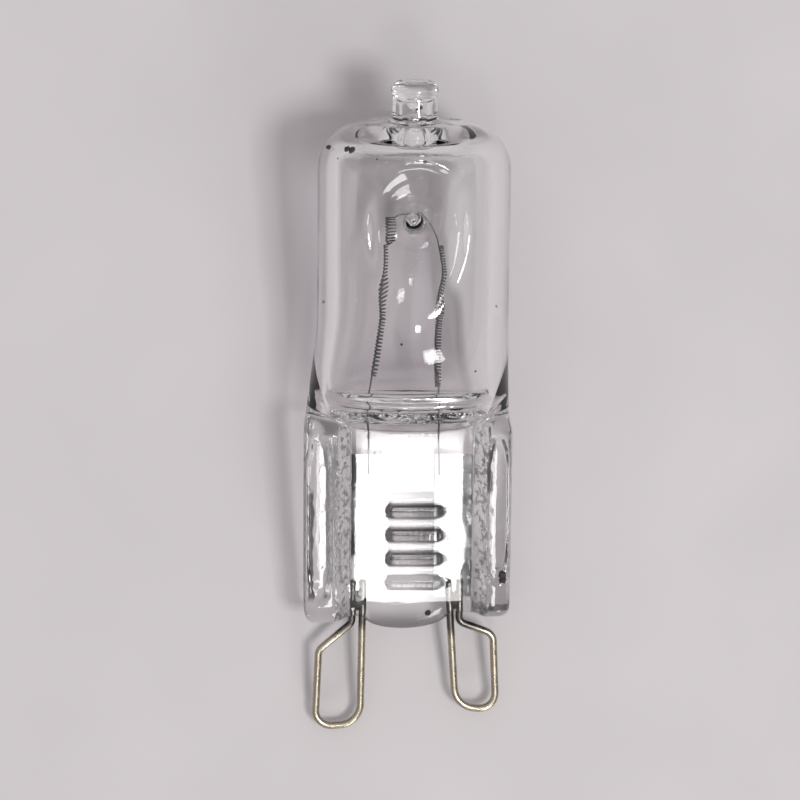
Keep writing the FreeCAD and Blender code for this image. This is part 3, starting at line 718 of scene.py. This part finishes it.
class LAMP_OT_glass(bpy.types.Operator):
    """Blows, dimples and pinches the glass envelope as one closed mesh with its gas space"""

    bl_idname = "lamp.glass"
    bl_label = "Glass envelope"

    def execute(self, context):
        g = context.scene.lamp_glass
        outer = skin_mesh(Outside(g), HALF_COLUMNS, 0)
        roughen_flanks(outer, g)
        wander(outer, g, g.neck_foot)
        inner = skin_mesh(Inside(g), INNER_HALF, 1)
        wander(inner, g, g.floor_height)
        bmesh.ops.reverse_faces(inner, faces=inner.faces)
        joined(outer, inner)
        outer.transform(LAID)
        finished("glass", outer, glass_material(g, context.scene.lamp_finish), "quartz_glass",
                 "glass_envelope")
        return {"FINISHED"}


# Wires


def wire_mesh(name, points, radius, sides):
    """A mesh of a round wire that follows the points."""
    curve = bpy.data.curves.new(name, "CURVE")
    curve.dimensions = "3D"
    curve.bevel_depth = radius
    curve.bevel_resolution = sides
    curve.use_fill_caps = True
    spline = curve.splines.new("POLY")
    spline.points.add(len(points) - 1)
    for spot, point in zip(spline.points, points):
        spot.co = (*point, 1)
    holder = bpy.data.objects.new(name, curve)
    bpy.context.scene.collection.objects.link(holder)
    mesh = bpy.data.meshes.new_from_object(holder)
    bpy.data.objects.remove(holder)
    bpy.data.curves.remove(curve)
    bm = bmesh.new()
    bm.from_mesh(mesh)
    bpy.data.meshes.remove(mesh)
    bmesh.ops.remove_doubles(bm, verts=bm.verts, dist=1e-7)
    bmesh.ops.recalc_face_normals(bm, faces=bm.faces)
    return bm


def rounded_path(corners):
    """Points along straight runs whose corners (across, along, radius) are rounded."""
    path = [Vector(corners[0][:2])]
    for before, corner, after in zip(corners, corners[1:], corners[2:]):
        spot = Vector(corner[:2])
        back = (Vector(before[:2]) - spot).normalized()
        ahead = (Vector(after[:2]) - spot).normalized()
        half = back.angle(ahead) / 2
        inset = corner[2] / math.tan(half)
        middle = spot + (back + ahead).normalized() * (corner[2] / math.sin(half))
        start, end = spot + back * inset, spot + ahead * inset
        first, last = start - middle, end - middle
        turn = first.angle_signed(last)
        steps = max(4, round(abs(turn) / math.radians(7)))
        for i in range(steps + 1):
            path.append(middle + Matrix.Rotation(-turn * i / steps, 2) @ first)
    path.append(Vector(corners[-1][:2]))
    return path


WIRE_STEP = 0.2 * MM
WIRE_GRAIN, WIRE_RELIEF = 1500, 0.012 * MM
# Side and corners (across, along, rounding) of each loop, in millimetres
LOOPS = {
    "left": (-1, ((3.18, 2.2), (3.34, -7.95, 1.5), (6.4, -8.15, 1.05), (6.15, -2.75, 0.8),
                  (3.92, -0.83, 0.55), (3.92, 2.2))),
    "right": (1, ((2.52, 2.2), (3.12, -6.8, 1.5), (5.86, -7.0, 1.05), (5.61, -1.65, 0.8),
                  (3.3, -0.8, 0.55), (3.3, 2.2))),
}


class LAMP_OT_contacts(bpy.types.Operator):
    """Bends the two wire loop contacts, a little uneven as the real ones are"""

    bl_idname = "lamp.contacts"
    bl_label = "Loop contacts"

    def execute(self, context):
        m = context.scene.lamp_metal
        material = contact_material(context.scene.lamp_finish)
        for side, (sign, corners) in LOOPS.items():
            path = rounded_path([[c * MM for c in corner] for corner in corners])
            path = dense(path, WIRE_STEP)
            points = [laid(sign * p.x, p.y, m.contact_level) for p in path]
            bm = wire_mesh(f"loop_{side}", points, m.contact_radius, 6)
            for vert in bm.verts:
                vert.co += noise.noise_vector(vert.co * WIRE_GRAIN) * WIRE_RELIEF
            finished(f"loop_{side}", bm, material, "contact_wire", f"contact_loop_{side}")
        return {"FINISHED"}


def dense(points, step):
    """The same line with a point at least every step."""
    line = [points[0]]
    for a, b in zip(points, points[1:]):
        steps = max(1, round((b - a).length / step))
        line += [a.lerp(b, i / steps) for i in range(1, steps + 1)]
    return line


# Filament

TURN_POINTS = 14
ARCH_POINTS = 24
# First and last height of each coil, and its places across on the way, in millimetres
LEFT_RUN = (16.4, 24.6)
LEFT_SWAY = (-2.5, -2.34, -2.2, -2.06, -1.97, -2.15, -2.39, -2.43, -2.5)
RIGHT_RUN = (24.5, 15.7)
RIGHT_SWAY = (2.24, 2.38, 2.46, 2.08, 1.79, 1.7, 1.67, 1.65, 1.62)
BUNCH_ENDS = ((-2.14, 24.75), (-2.14, 26.95))


def spline(knots, t):
    """A point of the smooth line through the knots, which are passed at even steps."""
    place = t * (len(knots) - 1)
    i = min(int(place), len(knots) - 2)
    u = place - i
    before, start, end = knots[max(i - 1, 0)], knots[i], knots[i + 1]
    after = knots[min(i + 2, len(knots) - 1)]
    return (start * 2 + (end - before) * u + (before * 2 - start * 5 + end * 4 - after) * u ** 2
            + (start * 3 - before - end * 3 + after) * u ** 3) / 2


def coil(knots, turns, radius_at):
    """Points of a helix wound along the knots, its radius set by turns done."""
    points = []
    steps = turns * TURN_POINTS
    for step in range(steps + 1):
        t = step / steps
        ahead = spline(knots, min(t + 0.01, 1)) - spline(knots, max(t - 0.01, 0))
        across = Vector((ahead.y, -ahead.x, 0)).normalized()
        turn = step / TURN_POINTS
        radius = radius_at(turn)
        wobble = 1 + 0.06 * noise.noise(Vector((turn * 0.35, radius / MM, 0)))
        swing = across * math.cos(2 * math.pi * turn) + Vector((0, 0, math.sin(2 * math.pi * turn)))
        points.append(spline(knots, t) + swing * radius * wobble)
    return points


def filament_line(g, m):
    """The filament's whole line: left coil, bunch, arch over the pillar, right coil."""
    def spot(across, along):
        return Vector((across * MM, along * MM, m.lead_level))

    def knots(run, sway):
        return [spot(across, mixed(*run, i / (len(sway) - 1))) for i, across in enumerate(sway)]

    def growing(turn):
        return mixed(m.grip_radius, m.coil_radius, min(turn / 3, 1))

    left = coil(knots(LEFT_RUN, LEFT_SWAY), m.left_turns, growing)
    bunch = coil([spot(*end) for end in BUNCH_ENDS], m.bunch_turns,
                 lambda turn: mixed(m.coil_radius, m.bunch_radius, min(turn, 1)))
    right = coil(knots(RIGHT_RUN, RIGHT_SWAY), m.right_turns,
                 lambda turn: growing(m.right_turns - turn))
    pillar = g.dimple_bore + g.dimple_wall
    crest = spot(0, 0) + Vector((0, g.dimple_height + pillar + 1.6 * m.filament_radius, 0))
    start, end = bunch[-1], right[0]
    rise = [start, start + Vector((-start.x * 0.1, (crest.y - start.y) * 0.5, 0)),
            crest + Vector((start.x * 0.5, 0, 0)), crest]
    fall = [crest, crest + Vector((end.x * 0.45, 0, 0)),
            end + Vector((0, (crest.y - end.y) * 0.6, 0)), end]
    arch = [bezier(rise, i / ARCH_POINTS) for i in range(1, ARCH_POINTS)]
    arch += [bezier(fall, i / ARCH_POINTS) for i in range(ARCH_POINTS)]
    return left + bunch + arch + right


class LAMP_OT_filament(bpy.types.Operator):
    """Winds the filament of round tungsten wire and hooks it over the pillar"""

    bl_idname = "lamp.filament"
    bl_label = "Filament"

    def execute(self, context):
        g, m = context.scene.lamp_glass, context.scene.lamp_metal
        points = [laid(*point) for point in filament_line(g, m)]
        bm = wire_mesh("filament_coil", points, m.filament_radius, 1)
        finished("filament_coil", bm, tungsten_material(context.scene.lamp_finish), "tungsten",
                 "filament")
        return {"FINISHED"}


# Dark oxide, dust, and painted shade at the bore's sealing drop

# Across, along and through of each speck's middle and its size, in millimetres
SPECKS_AND_DROP_SHADE = (
    (-5.62, 31.48, 2.2, 0.15), (-4.45, 31.5, 3.5, 0.2), (-4.12, 31.46, 3.8, 0.24),
    (-4.97, 30.84, 3.2, 0.06), (-2.54, 31.0, 4.9, 0.06), (-5.89, 21.39, 2.2, 0.08),
    (-0.94, 19.29, 5.35, 0.08), (5.05, 21.28, 3.0, 0.07), (3.73, 17.2, 3.1, 0.07),
    # The first two lumps below, at the bore's sealing drop, are painted shade: the drop's dark
    # crescent
    (0.34, 33.85, 0.25, 0.14), (0.16, 33.72, 0.3, 0.1), (1.15, 0.1, 1.25, 0.2),
    (6.0, 3.0, 2.2, 0.26), (6.05, 2.6, 2.2, 0.24),
)
# The same for the oxide at each wire, with its reach across and along
OXIDE = ((-3.55, 0.75, 0.26, 0.62, 0.55), (2.95, 0.85, 0.26, 0.5, 0.48))
OXIDE_DEPTH = 0.4


def lumps(name, material, rows):
    """Small irregular lumps as one piece; each row gives a middle, reaches and a seed."""
    bm = bmesh.new()
    for middle, size, seed in rows:
        for vert in bmesh.ops.create_icosphere(bm, subdivisions=3, radius=1.0)["verts"]:
            bulge = 1 + 0.35 * noise.noise(vert.co * 1.4 + Vector((seed, 0, 0)))
            vert.co = laid(*(m * MM + c * s * MM * bulge
                             for m, c, s in zip(middle, vert.co, size)))
    finished(name, bm, material, "lead_wire")


class LAMP_OT_marks(bpy.types.Operator):
    """Adds the dark oxide round the wires' ends in the pinch, the specks on the glass, and two dark
    lumps of painted shade at the bore's sealing drop
    """

    bl_idname = "lamp.marks"
    bl_label = "Oxide and specks"

    def execute(self, context):
        material = soot_and_shade_material(context.scene.lamp_finish)
        lumps("oxide", material, [(spot, (wide, high, OXIDE_DEPTH), seed)
                                  for seed, (*spot, wide, high) in enumerate(OXIDE)])
        lumps("specks", material, [(spot, (size, size, size * 0.5), seed + 5)
                                   for seed, (*spot, size) in enumerate(SPECKS_AND_DROP_SHADE)])
        return {"FINISHED"}


# Node trees


def feed(socket, given):
    """Joins a node's output to a socket, or sets it to a plain number, vector or colour."""
    if isinstance(given, Value):
        given = given.socket
    if isinstance(given, bpy.types.NodeSocket):
        socket.id_data.links.new(given, socket)
    else:
        socket.default_value = (*given, 1) if socket.type == "RGBA" else given


def new_node(tree, kind, inputs=(), **settings):
    """A node with its settings, its inputs fed in order or by name."""
    node = tree.nodes.new("ShaderNode" + kind)
    for name, setting in settings.items():
        setattr(node, name, setting)
    for key, given in inputs.items() if isinstance(inputs, dict) else enumerate(inputs):
        feed(node.inputs[key], given)
    return node


class Value:
    """What a node gives out, to be reckoned with like a plain number."""

    def __init__(self, socket):
        self.socket = socket

    def node(self, kind, inputs, **settings):
        return new_node(self.socket.id_data, kind, inputs, **settings)

    def math(self, operation, *others):
        return Value(self.node("Math", (self, *others), operation=operation).outputs[0])

    def __add__(self, other):
        return self.math("ADD", other)

    def __sub__(self, other):
        return self.math("SUBTRACT", other)

    def __mul__(self, other):
        return self.math("MULTIPLY", other)

    def __abs__(self):
        return self.math("ABSOLUTE")

    def larger(self, other):
        return self.math("MAXIMUM", other)

    def ranged(self, low, high, to_low=0, to_high=1):
        """Runs softly from to_low to to_high while this value goes from low to high."""
        node = self.node("MapRange", (self, low, high, to_low, to_high),
                         interpolation_type="SMOOTHSTEP")
        return Value(node.outputs["Result"])

    def band(self, low, high, soft):
        """1 while this value is between two numbers, fading out over a width."""
        return self.ranged(low - soft, low) * self.ranged(high, high + soft, 1, 0)

    def ramp(self, *stops):
        """The colour that this value meets on a ramp of (position, colour) stops."""
        node = self.node("ValToRGB", (self,))
        elements = node.color_ramp.elements
        while len(elements) < len(stops):
            elements.new(0.5)
        for element, (position, rgb) in zip(elements, stops):
            element.position = position
            element.color = (*rgb, 1)
        return Value(node.outputs["Color"])

    def mix(self, first, second):
        """The colour between two, by this value."""
        node = self.node("Mix", {"Factor": self, "A": first, "B": second}, data_type="RGBA")
        return Value(node.outputs["Result"])


def parts(vector):
    """The three numbers of a vector that a node gives out."""
    return [Value(socket)
            for socket in new_node(vector.id_data, "SeparateXYZ", (vector,)).outputs]


def grime_group():
    """Masks of fine scratches and of soft clouds, for any finish."""
    group = bpy.data.node_groups.get("handled_surface")
    if group:
        return group
    group = bpy.data.node_groups.new("handled_surface", "ShaderNodeTree")
    for name, kind, way in (("Vector", "Vector", "INPUT"), ("Grain", "Float", "INPUT"),
                            ("Cloud", "Float", "INPUT"), ("Scratches", "Float", "OUTPUT"),
                            ("Clouds", "Float", "OUTPUT")):
        group.interface.new_socket(name=name, in_out=way, socket_type="NodeSocket" + kind)
    given = group.nodes.new("NodeGroupInput").outputs
    made = group.nodes.new("NodeGroupOutput").inputs
    for scale, detail, roughness, mask in (("Grain", 5, 0.65, "Scratches"),
                                           ("Cloud", 2, 0.5, "Clouds")):
        texture = new_node(group, "TexNoise", {
            "Vector": given["Vector"], "Scale": given[scale],
            "Detail": detail, "Roughness": roughness})
        feed(made[mask], texture.outputs["Fac"])
    return group


def handled(vector, grain, cloud):
    """The masks of scratches and clouds at a place, at two scales."""
    node = new_node(vector.id_data, "Group",
                    {"Vector": vector, "Grain": grain, "Cloud": cloud}, node_tree=grime_group())
    return Value(node.outputs["Scratches"]), Value(node.outputs["Clouds"])


# Materials


def new_material(name, metallic=0):
    """A material with its shader and the Object coordinates that its tree starts from."""
    material = bpy.data.materials.new(name)
    material.use_nodes = True
    shader = material.node_tree.nodes["Principled BSDF"]
    shader.inputs["Metallic"].default_value = metallic
    return material, shader, new_node(material.node_tree, "TexCoord").outputs["Object"]


def lamp_material(name, metallic=0):
    """A material, its shader, its place in the lamp's frame, and that across and along in mm."""
    material, shader, place = new_material(name, metallic)
    back = LAID.inverted()
    place = new_node(material.node_tree, "Mapping", {
        "Vector": place, "Location": back.translation, "Rotation": back.to_euler(),
    }).outputs["Vector"]
    x, y, _ = parts(place)
    return material, shader, place, x * (1 / MM), y * (1 / MM)


def coat(shader, tint, roughness, height=None, strength=1.0, distance=MM):
    """Feeds a shader's colour, roughness and bump."""
    feed(shader.inputs["Base Color"], tint)
    feed(shader.inputs["Roughness"], roughness)
    if height:
        bump = new_node(shader.id_data, "Bump", {
            "Height": height, "Strength": strength, "Distance": distance})
        feed(shader.inputs["Normal"], bump.outputs["Normal"])


def times(rgb, factor):
    return tuple(c * factor for c in rgb)


def painted_pinch_shade(g, x, y, flank, scratches, clouds):
    """Mask of the painted shade in the pinch: dark lines at the bar ends, ovals, flanks and nose
    that stand for the dark refraction and reflections of the pressed glass; all in millimetres.
    """
    start, pitch = g.bar_start / MM, g.bar_pitch / MM
    off = abs(x - g.bar_shift / MM)
    turns = (y - start) * (1 / pitch)
    row = abs(turns - turns.math("ROUND")) * pitch
    ends = off.band(1.5, 1.85, 0.2) * row.band(-1, 0.34, 0.1)
    lines = off.band(-1, 1.7, 0.2) * row.band(0.36, 0.43, 0.06)
    bars = ends.larger(lines) * y.band(3.2, 7.6, 0.1)
    # Painted shade: dark strips along the beads' ovals
    wavy = x + clouds * 0.5
    left = wavy.band(-6.6, -6.35, 0.1) * y.band(1.6, 8.4, 0.6)
    right = wavy.band(5.25, 5.6, 0.12) * y.band(8.8, 11.4, 0.6)
    # Painted shade: dark worms on the rough flanks, in place of their dark and bright glints
    worms = scratches.ranged(0.44, 0.5, 0.85, 0) * flank
    # Painted shade: darker towards the nose at the pinch's foot
    nose = y.ranged(-0.9, 0.5, 0.7, 0) * off.band(-1, 2.8, 0.3)
    return bars.larger(left).larger(right).larger(worms).larger(nose)


# How much light passes the glass, from where it faces the light to where it turns edge on
PASSED = ((0.0, (0.99, 0.985, 0.99)), (0.3, (0.95, 0.935, 0.95)), (0.55, (0.56, 0.53, 0.55)),
          (0.8, (0.2, 0.18, 0.19)), (1.0, (0.06, 0.05, 0.06)))
DOME_PASSED = (0.3, 0.27, 0.29)


def glass_material(g, finish):
    """Clear quartz: smooth, with rough pressed flanks and painted shade along the pinch's pressed
    forms; lamps' light passes as a tinted shadow.
    """
    material, shader, place, x, y = lamp_material("quartz glass")
    shader.inputs["Transmission Weight"].default_value = 1
    shader.inputs["IOR"].default_value = 1.46
    pinch = y.ranged(12.6, 13.4, 1, 0)
    flank = abs(abs(x) - 4.6).ranged(0.3, 0.55, 1, 0) * pinch
    scratches, clouds = handled(place, 2200, 900)
    border = abs(x).band(3.6, 4.2, 0.5).larger(
        y.ranged(11.4, 12.3).larger(y.ranged(0.3, 1.1, 1, 0)))
    ripple = (scratches * border * 0.055 + clouds * 0.045) * pinch
    # The pinch's colour is darkened by painted shade
    shade = painted_pinch_shade(g, x, y, flank, scratches, clouds)
    coat(shader, shade.mix(finish.glass, finish.glass_painted_shade), flank * 0.04,
         scratches * flank * 0.4 + ripple, 1.0, 0.3 * MM)
    tree = material.node_tree
    path = new_node(tree, "LightPath").outputs
    facing = Value(new_node(tree, "LayerWeight", {"Blend": 0.5}).outputs["Facing"])
    tint = y.ranged(27, 32, 0, 0.6).mix(facing.ramp(*PASSED), DOME_PASSED)
    clear = new_node(tree, "BsdfTransparent", {"Color": tint})
    passing = Value(path["Is Shadow Ray"]).larger(path["Is Diffuse Ray"])
    blend = new_node(tree, "MixShader", (passing, shader.outputs[0], clear.outputs[0]))
    feed(tree.nodes["Material Output"].inputs["Surface"], blend.outputs[0])
    return material


def contact_material(finish):
    """Bright nickel-like wire, dull and dark where it was heated near the glass."""
    material, shader, place, _, y = lamp_material("contact wire", 1)
    scratches, clouds = handled(place, 2600, 420)
    heated = (y + clouds * 1.2).ranged(-1.3, -0.3)
    coat(shader, heated.mix(finish.contact, finish.contact_dark),
         scratches.ranged(0.3, 0.75, 0.2, 0.42), scratches, 0.1, 0.01 * MM)
    return material


def foil_material(finish):
    """Thin bright foil with fine wrinkles; its outer strips are painted dark with pale bands and
    dark spots, painted shade and reflections that bound the glare off its bright middle.
    """
    material, shader, place, x, y = lamp_material("sealing foil", 0.9)
    scratches, clouds = handled(place, 3200, 700)
    along = y * (1 / 12)
    dark, bright = finish.foil_painted_shade, finish.foil
    pale, dull, grey = (times(bright, share) for share in (0.75, 0.3, 0.14))
    # Painted reflection and shade: pale and dark bands and spots along the outer strips
    bands = along.ramp((0.12, dark), (0.15, dark), (0.17, bright), (0.29, bright), (0.33, dark),
                       (0.46, dark), (0.48, dull), (0.685, dull), (0.7, dark))
    spots = along.ramp((0.235, grey), (0.245, dark), (0.285, dark), (0.295, grey),
                       (0.615, grey), (0.625, dark), (0.665, dark), (0.675, grey))
    painted_reflection_bands = x.math("GREATER_THAN", 0).mix(bands, spots)
    # The ragged edge where the bright middle gives way to the painted shade of the outer strips
    reach = abs(x + 0.15) + (clouds - 0.5) * 1.5 + (scratches - 0.5) * 0.7
    sheen = clouds.ramp((0.25, pale), (0.75, bright))
    coat(shader, reach.ranged(3.58, 3.68).mix(sheen, painted_reflection_bands), clouds.ranged(0.3, 0.7, 0.16, 0.34),
         scratches, 0.5, 0.02 * MM)
    return material


def mottled_material(name, metallic, scales, dark, light, top, roughness):
    """A dull finish that drifts between two colours, the light one from the share top on."""
    material, shader, place, _, _ = lamp_material(name, metallic)
    scratches, clouds = handled(place, *scales)
    coat(shader, clouds.ramp((0.3, dark), (top, light)), scratches.ranged(0.3, 0.7, *roughness))
    return material


def tungsten_material(finish):
    return mottled_material("tungsten", 0.7, (6000, 900), finish.tungsten,
                            times(finish.tungsten, 1.9), 0.75, (0.35, 0.55))


def soot_and_shade_material(finish):
    # The same dark colour serves the painted shade at the bore's sealing drop
    return mottled_material("oxide and dust", 0, (5000, 1500), finish.soot_and_shade,
                            times(finish.soot_and_shade, 2.2), 0.8, (0.55, 0.85))


def lead_material(finish):
    return mottled_material("lead wire", 0.8, (5000, 900), finish.contact_dark,
                            finish.tungsten, 0.75, (0.3, 0.5))


def paper_material(finish):
    """Smooth pale paper with a faint tooth and mottling."""
    material, shader, place = new_material("paper")
    scratches, clouds = handled(place, 2400, 70)
    shader.inputs["Specular IOR Level"].default_value = 0.2
    coat(shader, clouds.ramp((0.3, times(finish.paper, 0.97)), (0.7, times(finish.paper, 1.03))),
         0.8, scratches, 0.25, 0.02 * MM)
    return material


class LAMP_OT_carried_finishes(bpy.types.Operator):
    """Gives the foils and inner leads of the frame their metal finishes"""

    bl_idname = "lamp.carried_finishes"
    bl_label = "Foil and lead finishes"

    def execute(self, context):
        finish = context.scene.lamp_finish
        for kind, material in (("foil", foil_material(finish)),
                               ("inner_lead", lead_material(finish))):
            for side in LOOPS:
                node = frame["nodes"][f"{kind}_{side}"]
                node.data.materials.clear()
                node.data.materials.append(material)
        return {"FINISHED"}


# Stage

LAMP_DISTANCE = 0.9
# Way from the lamp, sides in metres, watts, tint and turn in degrees of each light
LIGHTS = {
    "key": ((0.36, -0.2, 1.0), (0.18, 0.18), 3.8, (1.0, 0.99, 0.985), 0),
    "window": ((0.318, -0.868, 0.381), (0.24, 0.24), 2.2, (1.0, 0.99, 0.985), 45),
    "pinch_glow": ((0.052, -0.44, 0.9), (0.095, 0.117), 0.54, (1.0, 0.99, 0.98), 0),
}
CAMERA_PLACE = Vector((-8.7545, 3.6031, 192.346)) * MM
CAMERA_TARGET = Vector((-0.27, 0.62, 0)) * MM
SENSOR_WIDTH = 36
# The fitted camera's focal length, in widths of the picture
FOCAL_WIDTHS = 2829.3 / 800
PAPER_HALF = 0.6
PAPER_GAP = 0.03 * MM


def placed(name, data, place, target):
    """A light or camera at a place, turned to a target with its top towards +Y."""
    holder = bpy.data.objects.new(name, data)
    holder.location = place
    bpy.context.scene.collection.objects.link(holder)
    ahead = (Vector(target) - holder.location).normalized()
    right = ahead.cross((0, 1, 0)).normalized()
    holder.rotation_euler = Matrix((right, right.cross(ahead), -ahead)).transposed().to_euler()
    return holder


def soft_room():
    """A world that is bright overhead and dark low down, with pale cards left and in front."""
    world = bpy.data.worlds.new("soft room")
    world.use_nodes = True
    x, y, z = parts(new_node(world.node_tree, "TexCoord").outputs["Generated"])
    sky = z.ramp((0.0, (0.05, 0.048, 0.05)), (0.2, (0.13, 0.127, 0.13)), (0.5, (0.3, 0.295, 0.3)),
                 (0.85, (0.71, 0.70, 0.715)), (1.0, (0.76, 0.75, 0.765)))
    cards = x.ranged(-0.92, -0.7, 1, 0).larger(y.ranged(-0.9, -0.6, 1, 0))
    feed(world.node_tree.nodes["Background"].inputs["Color"], cards.mix(sky, (0.42, 0.415, 0.42)))
    return world


class LAMP_OT_stage(bpy.types.Operator):
    """Lays pale paper under the lamp and sets up the lights and the camera"""

    bl_idname = "lamp.stage"
    bl_label = "Stage"

    def execute(self, context):
        scene = context.scene
        scene.view_settings.view_transform = "Standard"
        bm = bmesh.new()
        bmesh.ops.create_grid(bm, x_segments=8, y_segments=8, size=PAPER_HALF,
                              matrix=Matrix.Translation((0, 0, -PAPER_GAP)))
        mesh = bpy.data.meshes.new("paper")
        bm.to_mesh(mesh)
        bm.free()
        mesh.materials.append(paper_material(scene.lamp_finish))
        floor = bpy.data.objects.new("paper", mesh)
        scene.collection.objects.link(floor)
        for name, (way, sides, watts, tint, turn) in LIGHTS.items():
            light = bpy.data.lights.new(name, "AREA")
            light.shape = "RECTANGLE"
            light.size, light.size_y = sides
            light.energy = watts
            light.color = tint
            holder = placed(name, light, Vector(way).normalized() * LAMP_DISTANCE, (0, 0, 0.005))
            holder.rotation_euler.rotate_axis("Z", math.radians(turn))
        scene.world = soft_room()
        camera = bpy.data.cameras.new("camera")
        camera.sensor_width = SENSOR_WIDTH
        camera.lens = SENSOR_WIDTH * FOCAL_WIDTHS
        camera.clip_start = 0.01
        scene.camera = placed("camera", camera, CAMERA_PLACE, CAMERA_TARGET)
        return {"FINISHED"}


OPERATORS = (LAMP_OT_stage, LAMP_OT_glass, LAMP_OT_contacts, LAMP_OT_filament, LAMP_OT_marks,
             LAMP_OT_carried_finishes)
GROUPS = {"lamp_glass": GlassSizes, "lamp_metal": MetalSizes, "lamp_finish": Finish}


class LAMP_PT_panel(bpy.types.Panel):
    bl_idname = "LAMP_PT_panel"
    bl_label = "Capsule lamp"
    bl_space_type = "VIEW_3D"
    bl_region_type = "UI"
    bl_category = "Lamp"

    def draw(self, context):
        for operator in OPERATORS:
            self.layout.operator(operator.bl_idname)
        for name, group in GROUPS.items():
            box = self.layout.box()
            for field in group.__annotations__:
                box.prop(getattr(context.scene, name), field)


CLASSES = (*GROUPS.values(), *OPERATORS, LAMP_PT_panel)


def register():
    for item in CLASSES:
        bpy.utils.register_class(item)
    for name, group in GROUPS.items():
        setattr(bpy.types.Scene, name, PointerProperty(type=group))


def unregister():
    for name in GROUPS:
        delattr(bpy.types.Scene, name)
    for item in reversed(CLASSES):
        bpy.utils.unregister_class(item)


def main():
    register()
    bpy.ops.lamp.stage()
    bpy.ops.lamp.glass()
    bpy.ops.lamp.contacts()
    bpy.ops.lamp.filament()
    bpy.ops.lamp.marks()
    bpy.ops.lamp.carried_finishes()


if __name__ == "__main__":
    main()
